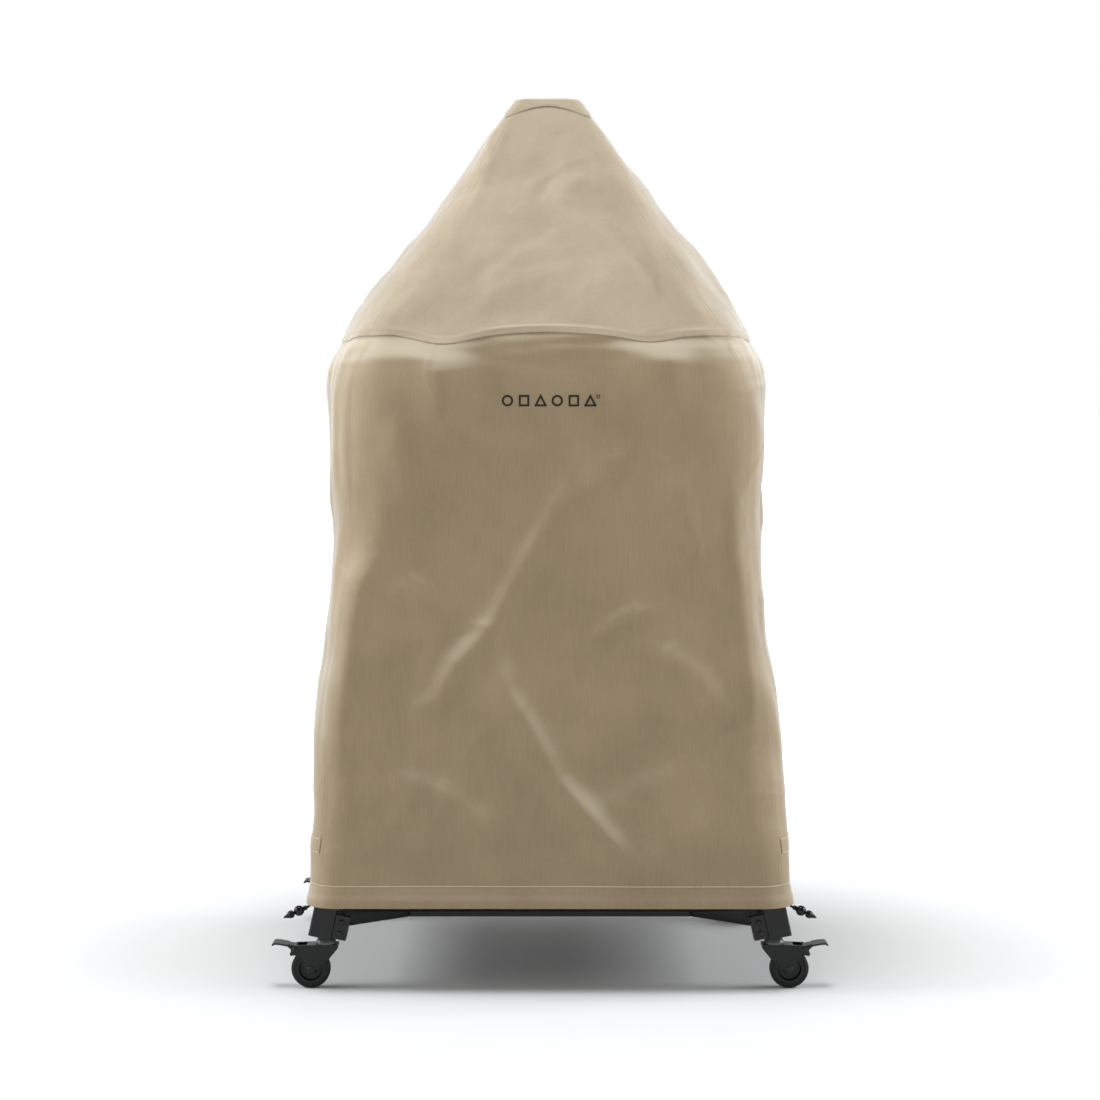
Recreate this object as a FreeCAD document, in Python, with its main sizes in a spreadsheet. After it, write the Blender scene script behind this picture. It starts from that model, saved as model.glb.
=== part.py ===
import FreeCAD, Part
import math
import os
import Sketcher

# A canvas cover over a cooker on a castered stand.
# Frame: origin on the floor under the middle, +X to the right, -Y to the front, +Z up, millimetres.

vec = FreeCAD.Vector
doc = FreeCAD.newDocument("grill_cover")

# Driving dimensions. Each line is an alias, a value and what it measures.
dimensions = [
    ("hem_z", 165, "height of the hem's lower edge"),
    ("hem_wide", 468, "half width of the cover at the hem"),
    ("hem_deep", 365, "half depth of the cover at the hem"),
    ("hem_round", 64, "corner radius of the cover at the hem"),
    ("knee_z", 300, "height: the cover two hand widths above the hem"),
    ("knee_wide", 453, "half width: the cover two hand widths above the hem"),
    ("knee_deep", 355, "half depth: the cover two hand widths above the hem"),
    ("knee_round", 72, "corner radius: the cover two hand widths above the hem"),
    ("thigh_z", 500, "height: the cover where it starts to draw in"),
    ("thigh_wide", 441, "half width: the cover where it starts to draw in"),
    ("thigh_deep", 345, "half depth: the cover where it starts to draw in"),
    ("thigh_round", 88, "corner radius: the cover where it starts to draw in"),
    ("hip_z", 700, "height: the cover beside the upper stand"),
    ("hip_wide", 418, "half width: the cover beside the upper stand"),
    ("hip_deep", 336, "half depth: the cover beside the upper stand"),
    ("hip_round", 104, "corner radius: the cover beside the upper stand"),
    ("waist_z", 870, "height: the narrowest level"),
    ("waist_wide", 408, "half width: the narrowest level"),
    ("waist_deep", 330, "half depth: the narrowest level"),
    ("waist_round", 120, "corner radius: the narrowest level"),
    ("chest_z", 1100, "height: beside the cooker"),
    ("chest_wide", 417, "half width: beside the cooker"),
    ("chest_deep", 335, "half depth: beside the cooker"),
    ("chest_round", 130, "corner radius: beside the cooker"),
    ("shoulder_z", 1180, "height: under the seam"),
    ("shoulder_wide", 411, "half width: under the seam"),
    ("shoulder_deep", 331, "half depth: under the seam"),
    ("shoulder_round", 140, "corner radius: under the seam"),
    ("seam_z", 1251, "height: the seam between skirt and hood"),
    ("seam_wide", 395, "half width: the seam between skirt and hood"),
    ("seam_deep", 320, "half depth: the seam between skirt and hood"),
    ("seam_round", 150, "corner radius: the seam between skirt and hood"),
    ("neck_z", 1690, "height: the top cap's lower edge"),
    ("neck_wide", 86, "half width: the top cap's lower edge"),
    ("neck_deep", 66, "half depth: the top cap's lower edge"),
    ("neck_round", 40, "corner radius: the top cap's lower edge"),
    ("crown_z", 1725, "height: top of the cover"),
    ("crown_wide", 61, "half width: top of the cover"),
    ("crown_deep", 45, "half depth: top of the cover"),
    ("crown_round", 30, "corner radius: top of the cover"),
    ("cloth", 3, "thickness of the coated canvas with its lining"),
    ("corner_x", 426, "a corner seam at the hem"),
    ("corner_y", 350, "the same, front to back"),
    ("hem_tall", 42, "height of the turned-up hem"),
    ("hem_inset", 12, "the hem facing's inner side, from the outside of the cloth"),
    ("tunnel_inset", 9.5, "the cord tunnel's inner side"),
    ("hem_lip", 3, "folded cloth below and above the tunnel"),
    ("cord_radius", 2.5, "elastic drawcord"),
    ("cord_inset", 7, "the cord's middle, from the outside of the cloth"),
    ("cord_z", 172, "height of the cord in the hem"),
    ("cord_clear", 1, "room round the cord where it leaves the hem"),
    ("band_low", 267, "lower edge of the side bands"),
    ("band_high", 295, "upper edge of the side bands"),
    ("band_thick", 1.5, "a side band's webbing"),
    ("ball_radius", 10, "cord lock"),
    ("barrel_radius", 4.6, "cord lock button"),
    ("bead_radius", 7.5, "end bead"),
    ("stem_x", 430, "a caster's swivel axis"),
    ("stem_y", 300, "the same, front to back"),
    ("leg_x", 441, "middle of a leg's foot"),
    ("leg_y", 300, "the same, front to back"),
    ("foot_z", 99, "height of a leg's foot"),
    ("leg_top_x", 271, "middle of a leg's top"),
    ("leg_top_y", 250, "the same, front to back"),
    ("leg_top_z", 880, "height of the legs' tops"),
    ("leg_size", 45, "square tube"),
    ("leg_wall", 2.5, "its wall"),
    ("leg_round", 5, "its outer corners"),
    ("tab_wide", 27, "bolt tab on a leg's inner side"),
    ("tab_thick", 8, "its plate"),
    ("tab_tall", 46, "its length up the leg"),
    ("shelf_wide", 277, "half width of the lower shelf"),
    ("shelf_deep", 212, "half depth of the lower shelf"),
    ("shelf_z", 118, "height of the shelf's rim"),
    ("shelf_thick", 10, "depth of its turned-down rim"),
    ("shelf_round", 6, "its corner radius"),
    ("shelf_sheet", 3, "its sheet steel"),
    ("rail_size", 32, "square tube of a top side rail"),
    ("rail_wall", 2.5, "its wall"),
    ("rail_long", 544, "its length"),
    ("tray_wide", 300, "half width of the worktop tray"),
    ("tray_deep", 282, "half depth of the worktop tray"),
    ("tray_round", 30, "its corner radius"),
    ("tray_thick", 4, "its plate"),
    ("hearth_wide", 290, "half width of the cooker's hearth"),
    ("hearth_deep", 280, "half depth"),
    ("hearth_round", 120, "corner radius"),
    ("hearth_tall", 69, "height"),
    ("hearth_sheet", 6, "its pressed shell"),
    ("stone_radius", 236, "round cooking stone"),
    ("stone_thick", 20, "its thickness"),
    ("dome_radius", 278, "outside of the cooker dome"),
    ("dome_tall", 330, "its height over the hearth"),
    ("dome_wall", 38, "cast refractory wall"),
    ("mouth_radius", 130, "half width of the oven mouth"),
    ("mouth_rise", 60, "height at which the mouth's arch starts, over the hearth"),
    ("flue_radius", 45, "flue pipe, outside"),
    ("flue_wall", 3, "its wall"),
    ("lid_lip", 9, "the flue lid's overhang"),
    ("lid_spigot", 24, "how far the lid reaches down the flue"),
    ("flue_low", 1295, "its lower end, in the dome"),
    ("flue_high", 1650, "its upper end"),
    ("wheel_radius", 37.5, "a 75 mm caster wheel"),
    ("wheel_wide", 24, "width of the tread"),
    ("rim_radius", 27.5, "outside of the hub, inside of the tread"),
    ("trail", 29, "from the swivel axis to the wheel's axle"),
    ("axle_radius", 4, "the wheel's axle"),
    ("fork_wide", 34, "outside width of a caster fork"),
    ("fork_gap", 28, "between its two cheeks"),
    ("fork_top", 85.5, "height of its top plate"),
    ("fork_plate", 5, "thickness of its top plate"),
    ("pivot_out", 58, "from the swivel axis to the pedal's pin"),
    ("pivot_z", 75, "height of the pedal's pin"),
    ("pin_radius", 3, "the pedal's pin"),
    ("running", 0.05, "radial clearance of a running fit"),
    ("kingpin", 6, "radius of the swivel's neck"),
    ("stem_radius", 7, "the stem inside the leg's plug"),
    ("race_radius", 20, "swivel race under a leg's foot"),
    ("race_gap", 0.5, "between the fork's top plate and the race"),
    ("rivet_radius", 9, "the kingpin's riveted lower end"),
    ("head_tall", 2.5, "domed heads of the axle and the pin"),
    ("tread_bevel", 5, "sloping shoulder of the tread"),
    ("hub_boss", 10, "moulded boss round the axle"),
    ("hub_web", 5, "half thickness of the hub's web"),
    ("pedal_boss", 8.5, "the pedal's boss round its pin"),
    ("pedal_gap", 1, "between the pedal and each cheek of the fork"),
    ("stem_top", 138, "height of the stem's upper end"),
]

dims = doc.addObject("Spreadsheet::Sheet", "dims")
for row, (alias, amount, meaning) in enumerate(dimensions, start=1):
    dims.set("A%d" % row, alias)
    dims.set("B%d" % row, str(amount))
    dims.set("C%d" % row, meaning)
    dims.setAlias("B%d" % row, alias)
doc.recompute()

far = 3000.0  # longer than anything here, for solids that only cut
over = 20.0  # how far a cutting solid runs past what it cuts


def value(text):
    """The number that an expression on the sheet gives."""
    return float(dims.evalExpression(str(text)))


def bind(thing, **expressions):
    """Tie properties to expressions. A double underscore stands for a dot."""
    for path, text in expressions.items():
        thing.setExpression(path.replace("__", "."), str(text))


# ---- sketches -------------------------------------------------------------------------------

def new_body(name):
    return doc.addObject("PartDesign::Body", name)


def new_sketch(body, plane, lift="0"):
    """An empty sketch on one of the body's own origin planes, moved along the plane's normal."""
    sketch = body.newObject("Sketcher::SketchObject", body.Name + "_sketch")
    base = [f for f in body.Origin.OriginFeatures if f.Role == plane][0]
    sketch.AttachmentSupport = [(base, "")]
    sketch.MapMode = "FlatFace"
    bind(sketch, AttachmentOffset__Base__z=lift)
    return sketch


def pin_point(sketch, edge, end, across, up):
    """Hold one end of an edge at a place given by two expressions."""
    for kind, axis, text in (("DistanceX", -2, across), ("DistanceY", -1, up)):
        if abs(value(text)) < 1e-9:
            sketch.addConstraint(Sketcher.Constraint("PointOnObject", edge, end, axis))
        else:
            held = sketch.addConstraint(Sketcher.Constraint(kind, edge, end, value(text)))
            bind(sketch, **{"Constraints[%d]" % held: text})


def draw_circle(sketch, across, up, radius):
    place = vec(value(across), value(up), 0)
    edge = sketch.addGeometry(Part.Circle(place, vec(0, 0, 1), value(radius)), False)
    pin_point(sketch, edge, 3, across, up)
    size = sketch.addConstraint(Sketcher.Constraint("Radius", edge, value(radius)))
    bind(sketch, **{"Constraints[%d]" % size: radius})


def draw_polygon(sketch, corners):
    """A closed outline through corners given as pairs of expressions."""
    places = [vec(value(across), value(up), 0) for across, up in corners]
    edges = [sketch.addGeometry(Part.LineSegment(places[i - 1], places[i]), False)
             for i in range(len(places))]
    for i, edge in enumerate(edges):
        sketch.addConstraint(Sketcher.Constraint("Coincident", edges[i - 1], 2, edge, 1))
        pin_point(sketch, edge, 2, *corners[i])


def draw_rectangle(sketch, left, right, low, high):
    draw_polygon(sketch, [(left, low), (right, low), (right, high), (left, high)])


def draw_rounded(sketch, wide, deep, radius):
    """A rectangle about the origin with round corners, from its half sizes."""
    flat_x, flat_y = "(%s) - (%s)" % (wide, radius), "(%s) - (%s)" % (deep, radius)
    corners = [(1, -1), (1, 1), (-1, 1), (-1, -1)]
    ends = []
    for sx, sy in corners:
        beside = ("%d * (%s)" % (sx, wide), "%d * (%s)" % (sy, flat_y))
        below = ("%d * (%s)" % (sx, flat_x), "%d * (%s)" % (sy, deep))
        ends.append((below, beside) if sx * sy < 0 else (beside, below))
    count = len(corners)
    lines, arcs = [], []
    for i, (sx, sy) in enumerate(corners):
        start, stop = ends[i - 1][1], ends[i][0]
        line = Part.LineSegment(vec(value(start[0]), value(start[1]), 0),
                                vec(value(stop[0]), value(stop[1]), 0))
        middle = vec(sx * value(flat_x), sy * value(flat_y), 0)
        first = math.atan2(value(ends[i][0][1]) - middle.y, value(ends[i][0][0]) - middle.x)
        round_edge = Part.ArcOfCircle(Part.Circle(middle, vec(0, 0, 1), value(radius)),
                                      first, first + math.pi / 2)
        lines.append(sketch.addGeometry(line, False))
        arcs.append(sketch.addGeometry(round_edge, False))
    for i in range(count):
        pin_point(sketch, lines[i], 1, *ends[i - 1][1])
        pin_point(sketch, lines[i], 2, *ends[i][0])
        sketch.addConstraint(Sketcher.Constraint("Coincident", lines[i], 2, arcs[i], 1))
        sketch.addConstraint(Sketcher.Constraint("Coincident", arcs[i], 2, lines[(i + 1) % count], 1))
        size = sketch.addConstraint(Sketcher.Constraint("Radius", arcs[i], value(radius)))
        bind(sketch, **{"Constraints[%d]" % size: radius})


# ---- features -------------------------------------------------------------------------------

def pad(body, sketch, length, both_ways=False):
    made = body.newObject("PartDesign::Pad", body.Name + "_pad")
    made.Profile = sketch
    made.SideType = "Symmetric" if both_ways else "One side"
    bind(made, Length=length)
    return made


def pocket_through(body, sketch):
    """Cut the sketch right through the body, both ways."""
    made = body.newObject("PartDesign::Pocket", body.Name + "_pocket")
    made.Profile = sketch
    made.SideType = "Symmetric"
    made.Length = far
    return made


def pocket_up(body, sketch, depth):
    """Cut from a sketch on the XY plane's direction upwards."""
    made = body.newObject("PartDesign::Pocket", body.Name + "_pocket")
    made.Profile = sketch
    made.Reversed = True
    bind(made, Length=depth)
    return made


def turned(name, outline, plane="XZ_Plane"):
    """A body turned about the sketch's upright axis from an outline of (radius, height)."""
    body = new_body(name)
    sketch = new_sketch(body, plane)
    draw_polygon(sketch, outline)
    made = body.newObject("PartDesign::Revolution", name + "_turn")
    made.Profile = sketch
    made.ReferenceAxis = (sketch, ["V_Axis"])
    made.Angle = 360.0
    return body


def prism(name, wide, deep, radius, low, tall):
    """An upright block with round corners."""
    body = new_body(name)
    sketch = new_sketch(body, "XY_Plane", low)
    draw_rounded(sketch, wide, deep, radius)
    pad(body, sketch, tall)
    return body


def block(name, left, right, front, back, low, high):
    """A plain box from its six sides."""
    box = doc.addObject("Part::Box", name)
    bind(box, Length="(%s) - (%s)" % (right, left), Width="(%s) - (%s)" % (back, front),
         Height="(%s) - (%s)" % (high, low), Placement__Base__x=left, Placement__Base__y=front,
         Placement__Base__z=low)
    return box


def rod(name, radius, height):
    made = doc.addObject("Part::Cylinder", name)
    bind(made, Radius=radius, Height=height)
    return made


def combine(kind, name, base, tool):
    """kind is Cut, Common or Fuse."""
    made = doc.addObject("Part::" + kind, name)
    made.Base, made.Tool = base, tool
    return made


def mirrored(name, source, normal):
    made = doc.addObject("Part::Mirroring", name)
    made.Source = source
    made.Base = vec(0, 0, 0)
    made.Normal = normal
    return made


def group(name, members):
    """Several separate solids in one sub-part."""
    made = doc.addObject("Part::Compound", name)
    made.Links = members
    return made


nodes = []


def keep(name, made):
    """Give a finished sub-part the name that its file gets."""
    made.Label = name
    nodes.append(made)
    return made


# ---- cover ----------------------------------------------------------------------------------

skirt_levels = ["hem", "knee", "thigh", "hip", "waist", "chest", "shoulder", "seam"]
hood_levels = ["seam", "neck", "crown"]


def add_loft(body, levels, inset, top_drop="0", ruled=False):
    """A loft of rounded sections, each taken in by the inset."""
    sketches = []
    for level in levels:
        drop = top_drop if level == levels[-1] else "0"
        sketch = new_sketch(body, "XY_Plane", "dims.%s_z - (%s)" % (level, drop))
        draw_rounded(sketch, "dims.%s_wide - (%s)" % (level, inset),
                     "dims.%s_deep - (%s)" % (level, inset), "dims.%s_round - (%s)" % (level, inset))
        sketches.append(sketch)
    made = body.newObject("PartDesign::AdditiveLoft", body.Name + "_loft")
    made.Profile = sketches[0]
    made.Sections = sketches[1:]
    made.Ruled = ruled


def cover_solid(name, inset, top_drop):
    body = new_body(name)
    add_loft(body, skirt_levels, inset)
    add_loft(body, hood_levels, inset, top_drop, ruled=True)
    return body


cover_outside = cover_solid("cover_outside", "0", "0")
cover_inside = cover_solid("cover_inside", "dims.cloth", "dims.cloth")
cover_shell = combine("Cut", "cover_shell", cover_outside, cover_inside)


def wedge(name, corners, low, high):
    """One quarter of the plan, between the rays through two corner seams."""
    body = new_body(name)
    sketch = new_sketch(body, "XY_Plane", low)
    outline = [("0", "0")]
    outline += [("%d * 2 * dims.corner_x" % sx, "%d * 2 * dims.corner_y" % sy) for sx, sy in corners]
    draw_polygon(sketch, outline)
    pad(body, sketch, "(%s) - (%s)" % (high, low))
    return body


quarters = {
    "front": [(-1, -1), (1, -1)],
    "right": [(1, -1), (1, 1)],
    "back": [(1, 1), (-1, 1)],
    "left": [(-1, 1), (-1, -1)],
}
for side, corners in quarters.items():
    lower = wedge("skirt_wedge_" + side, corners, "dims.hem_z", "dims.seam_z")
    keep(side + "_panel", combine("Common", side + "_panel", cover_shell, lower))
    upper = wedge("hood_wedge_" + side, corners, "dims.seam_z", "dims.neck_z")
    keep("hood_" + side, combine("Common", "hood_" + side, cover_shell, upper))

cap_zone = block("cap_zone", "-dims.neck_wide", "dims.neck_wide", "-dims.neck_deep", "dims.neck_deep",
                 "dims.neck_z", "dims.crown_z + %g" % over)
keep("top_cap", combine("Common", "top_cap", cover_shell, cap_zone))

# The hem is turned up inside, and leaves a tunnel for the drawcord between its two layers.


def hem_core(name, inset):
    body = new_body(name)
    add_loft(body, ["hem", "knee"], inset, ruled=True)
    return body


def hem_zone(name, low, high):
    return block(name, "-dims.hem_wide", "dims.hem_wide", "-dims.hem_deep", "dims.hem_deep", low, high)


hem_top = "dims.hem_z + dims.hem_tall"
hem_slab = combine("Common", "hem_slab", cover_inside, hem_zone("hem_zone", "dims.hem_z", hem_top))
hem_ring = combine("Cut", "hem_ring", hem_slab, hem_core("facing_core", "dims.hem_inset"))
tunnel_slab = combine("Common", "tunnel_slab", cover_inside,
                      hem_zone("tunnel_zone", "dims.hem_z + dims.hem_lip", hem_top + " - dims.hem_lip"))
tunnel_ring = combine("Cut", "tunnel_ring", tunnel_slab, hem_core("tunnel_core", "dims.tunnel_inset"))
hem_folded = combine("Cut", "hem_folded", hem_ring, tunnel_ring)

# The drawcord leaves the hem downwards, a little back from each front corner, and turns out.
exit_angle = 201.5  # direction of the left exit in plan, from +X
exit_turn = 70.0  # how far the cord turns from straight down
exit_bend = 7.0  # radius of that turn
exit_drop = 3.0  # height over the hem's edge at which the turn starts
slope = 90.0 - exit_turn
outward = vec(math.cos(math.radians(exit_angle)), math.sin(math.radians(exit_angle)), 0)
corner_middle = vec(value("dims.hem_round - dims.hem_wide"), value("dims.hem_round - dims.hem_deep"), 0)
exit_point = corner_middle + outward * value("dims.hem_round") + vec(0, 0, value("dims.hem_z"))
exit_turned = FreeCAD.Rotation(vec(0, 0, 1), exit_angle)

bend_middle = vec(exit_bend - value("dims.cord_inset"), 0, exit_drop)
turn_off = math.radians(exit_turn)
bend_end = bend_middle - vec(math.cos(turn_off), 0, math.sin(turn_off)) * exit_bend
tail_way = vec(math.cos(math.radians(slope)), 0, -math.sin(math.radians(slope)))
lock_along = 19.5  # from the bend to the ball's middle
bead_gap = 0.3  # between the ball and the end bead
bead_along = lock_along + value("dims.ball_radius + dims.bead_radius") + bead_gap


def from_exit(local):
    """A place given in the exit's own frame: x outwards, z up."""
    return exit_point + exit_turned.multVec(local)


def cord_pipe(edges):
    """A round cord along straight edges and arcs that already join smoothly."""
    wire = Part.Wire(edges)
    start = wire.Edges[0]
    tangent = start.tangentAt(start.FirstParameter)
    profile = Part.Wire(Part.Circle(start.valueAt(start.FirstParameter), tangent,
                                    value("dims.cord_radius")).toShape())
    pipe = wire.makePipeShell([profile], True, False)
    area = math.pi * value("dims.cord_radius") ** 2
    assert abs(pipe.Volume - area * wire.Length) < 0.01 * pipe.Volume
    return pipe


def tail_edges():
    """Down out of the tunnel, round the bend and on to the end bead."""
    high = from_exit(vec(-value("dims.cord_inset"), 0, value("dims.cord_z - dims.hem_z")))
    turn_start = from_exit(vec(-value("dims.cord_inset"), 0, exit_drop))
    half = math.radians(180.0 + exit_turn / 2)
    turn_half = from_exit(bend_middle + vec(math.cos(half), 0, math.sin(half)) * exit_bend)
    turn_stop = from_exit(bend_end)
    last = from_exit(bend_end + tail_way * bead_along)
    return [Part.makeLine(high, turn_start), Part.Arc(turn_start, turn_half, turn_stop).toShape(),
            Part.makeLine(turn_stop, last)]


def ring_edges():
    """The cord's way round the hem: straight along each side, round each corner."""
    wide = value("dims.hem_wide - dims.cord_inset")
    deep = value("dims.hem_deep - dims.cord_inset")
    radius = value("dims.hem_round - dims.cord_inset")
    height = value("dims.cord_z")
    slant = radius * (1 - math.sqrt(0.5))
    edges = []
    for turn in range(4):
        about = FreeCAD.Rotation(vec(0, 0, 1), 90 * turn)
        along, out = (wide, deep) if turn % 2 == 0 else (deep, wide)
        first = about.multVec(vec(radius - along, -out, 0))
        second = about.multVec(vec(along - radius, -out, 0))
        middle = about.multVec(vec(along - slant, slant - out, 0))
        third = about.multVec(vec(along, radius - out, 0))
        lift = vec(0, 0, height)
        edges.append(Part.makeLine(first + lift, second + lift))
        edges.append(Part.Arc(second + lift, middle + lift, third + lift).toShape())
    return edges


drawcord = doc.addObject("Part::Feature", "drawcord")
tail = cord_pipe(tail_edges())
drawcord.Shape = cord_pipe(ring_edges()).fuse([tail, tail.mirror(vec(0, 0, 0), vec(1, 0, 0))])
keep("drawcord", drawcord)

cord_hole = rod("cord_hole", "dims.cord_radius + dims.cord_clear", "2 * dims.hem_lip")
hole_low = from_exit(vec(-value("dims.cord_inset"), 0, -value("dims.hem_lip / 2")))
cord_hole.Placement = FreeCAD.Placement(hole_low, FreeCAD.Rotation())
cord_holes = group("cord_holes", [cord_hole, mirrored("cord_hole_right", cord_hole, vec(1, 0, 0))])
keep("hem_band", combine("Cut", "hem_band", hem_folded, cord_holes))

# Each cord lock is a ball with a sprung barrel, bored through for the cord.
lock_turned = exit_turned.multiply(FreeCAD.Rotation(vec(0, 1, 0), 90.0 + slope))
lock_middle = from_exit(bend_end + tail_way * lock_along)
bead_middle = from_exit(bend_end + tail_way * bead_along)
barrel_out = 6.0  # how far the barrel stands out of the ball
barrel_in = 5.0  # how deep it sits
barrel_travel = 3.0
barrel_spare = 0.4  # left under the barrel when it is pressed right in
cord_bore = "dims.cord_radius + 0.15"


def on_cord(made, middle, back=0.0):
    """Put a piece whose own +Z runs along the cord's tail at a place on it."""
    along = lock_turned.multVec(vec(0, 0, 1))
    made.Placement = FreeCAD.Placement(middle - along * back, lock_turned)
    return made


ball_round = doc.addObject("Part::Sphere", "ball_round")
bind(ball_round, Radius="dims.ball_radius")
on_cord(ball_round, lock_middle)
ball_face = value("dims.ball_radius")
ball_bore = on_cord(rod("ball_bore", cord_bore, "4 * dims.ball_radius"), lock_middle, 2 * ball_face)
socket_deep = barrel_in + barrel_travel + barrel_spare
ball_socket = on_cord(rod("ball_socket", "dims.barrel_radius + dims.running", "2 * dims.ball_radius"),
                      lock_middle, 3 * ball_face - socket_deep)
ball_bored = combine("Cut", "ball_bored", ball_round, ball_bore)
ball_left = combine("Cut", "ball_left", ball_bored, ball_socket)
ball_right = mirrored("ball_right", ball_left, vec(1, 0, 0))
keep("cord_lock_balls", group("cord_lock_balls", [ball_left, ball_right]))

barrel_rod = on_cord(rod("barrel_rod", "dims.barrel_radius", barrel_out + barrel_in), lock_middle,
                     ball_face + barrel_out)
barrel_bore = on_cord(rod("barrel_bore", cord_bore, "4 * dims.ball_radius"), lock_middle, 2 * ball_face)
barrel_left = keep("cord_lock_barrel_left", combine("Cut", "barrel_left", barrel_rod, barrel_bore))
keep("cord_lock_barrel_right", mirrored("barrel_right", barrel_left, vec(1, 0, 0)))

bead_round = doc.addObject("Part::Sphere", "bead_round")
bind(bead_round, Radius="dims.bead_radius")
on_cord(bead_round, bead_middle)
bead_tip = doc.addObject("Part::Cone", "bead_tip")
bind(bead_tip, Radius1="dims.bead_radius * 0.8", Radius2="dims.bead_radius * 0.2",
     Height="dims.bead_radius * 1.5")
on_cord(bead_tip, bead_middle, -value("dims.bead_radius * 0.45"))
bead_whole = combine("Fuse", "bead_whole", bead_round, bead_tip)
bead_left = combine("Cut", "bead_left", bead_whole, drawcord)
keep("end_beads", group("end_beads", [bead_left, mirrored("bead_right", bead_left, vec(1, 0, 0))]))

# A short webbing band is sewn round each side panel, low down.
band_zone = block("band_zone", "-2 * dims.hem_wide", "2 * dims.hem_wide", "-2 * dims.hem_deep",
                  "2 * dims.hem_deep", "dims.band_low", "dims.band_high")
band_outer = new_body("band_outer")
add_loft(band_outer, skirt_levels, "-dims.band_thick")
band_ring = combine("Cut", "band_ring", band_outer, cover_outside)
band_cut = combine("Common", "band_cut", band_ring, band_zone)
band_left = combine("Common", "band_left", band_cut, doc.getObject("skirt_wedge_left"))
keep("side_bands", group("side_bands", [band_left, mirrored("band_right", band_left, vec(1, 0, 0))]))

# ---- stand ----------------------------------------------------------------------------------

foot = vec(value("-dims.leg_x"), value("-dims.leg_y"), value("dims.foot_z"))
leg_top = vec(value("-dims.leg_top_x"), value("-dims.leg_top_y"), value("dims.leg_top_z"))
leg_long = (leg_top - foot).Length
leg_spare = 30.0  # extra length that the level cut at the top takes off
leg_place = FreeCAD.Placement(foot, FreeCAD.Rotation(vec(0, 0, 1), leg_top - foot))
left_right, front_back = vec(1, 0, 0), vec(0, 1, 0)


def at_leg(made):
    """Put a piece drawn along the leg's own axis where the front left leg is."""
    made.Placement = leg_place
    return made


def four_of(name, source):
    """The front left piece, its mirror images and their names."""
    front_right = mirrored(name + "_fr", source, left_right)
    back_left = mirrored(name + "_bl", source, front_back)
    back_right = mirrored(name + "_br", front_right, front_back)
    return {"front_left": source, "front_right": front_right,
            "back_left": back_left, "back_right": back_right}


def keep_four(name, source):
    for corner, made in four_of(name, source).items():
        keep(name + "_" + corner, made)


leg_half = "dims.leg_size / 2"
leg_inner = "dims.leg_size / 2 - dims.leg_wall"
leg_block = at_leg(prism("leg_block", leg_half, leg_half, "dims.leg_round", "0", leg_long + leg_spare))
leg_bore = at_leg(prism("leg_bore", leg_inner, leg_inner, "dims.leg_round - dims.leg_wall", "0",
                        leg_long + leg_spare))
leg_tube = combine("Cut", "leg_tube", leg_block, leg_bore)

tab_set_in = 3.0  # the tab's front and the arm's back, from the tube's faces
tab_lift = 4.0  # the tab's lower end, up the leg
tab_left, tab_right = leg_half, leg_half + " + dims.tab_wide"
tab_front = "-dims.leg_size / 2 + %g" % tab_set_in
tab_body = new_body("tab_body")
tab_sketch = new_sketch(tab_body, "XY_Plane", tab_lift)
draw_rectangle(tab_sketch, tab_left, tab_right, tab_front, tab_front + " + dims.tab_thick")
pad(tab_body, tab_sketch, "dims.tab_tall")
at_leg(tab_body)
leg_tabbed = combine("Fuse", "leg_tabbed", leg_tube, tab_body)
leg_over = block("leg_over", "-dims.leg_x", "0", "-dims.leg_y", "0", "dims.leg_top_z",
                 "dims.leg_top_z + dims.leg_size + %g" % over)
leg_level = combine("Cut", "leg_level", leg_tabbed, leg_over)

# An arm bolts behind the leg's tab and tapers inwards to the shelf's corner.
arm_head = new_body("arm_head")
arm_sketch = new_sketch(arm_head, "XY_Plane", tab_lift)
draw_rectangle(arm_sketch, tab_left, tab_right, tab_front + " + dims.tab_thick",
               leg_half + " - %g" % tab_set_in)
pad(arm_head, arm_sketch, "dims.tab_tall")
at_leg(arm_head)
arm_start = 34.0  # from the caster's stem to the beam's outer end
arm_front, arm_back = 9.0, 19.0  # the outer end's reach before and behind the stem
arm_low, arm_high = 1.0, 24.0  # its height over the shelf's rim
arm_tip = 24.0  # width of the inner end
arm_beam = new_body("arm_beam")
outer_end = new_sketch(arm_beam, "YZ_Plane", "-dims.stem_x + %g" % arm_start)
draw_rectangle(outer_end, "-dims.stem_y - %g" % arm_front, "-dims.stem_y + %g" % arm_back,
               "dims.shelf_z + %g" % arm_low, "dims.shelf_z + %g" % arm_high)
inner_end = new_sketch(arm_beam, "YZ_Plane", "-dims.shelf_wide")
draw_rectangle(inner_end, "-dims.shelf_deep", "-dims.shelf_deep + %g" % arm_tip, "dims.shelf_z",
               "dims.shelf_z + dims.shelf_thick")
arm_taper = arm_beam.newObject("PartDesign::AdditiveLoft", "arm_taper")
arm_taper.Profile = outer_end
arm_taper.Sections = [inner_end]
arm_whole = combine("Fuse", "arm_whole", arm_head, arm_beam)

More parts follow.
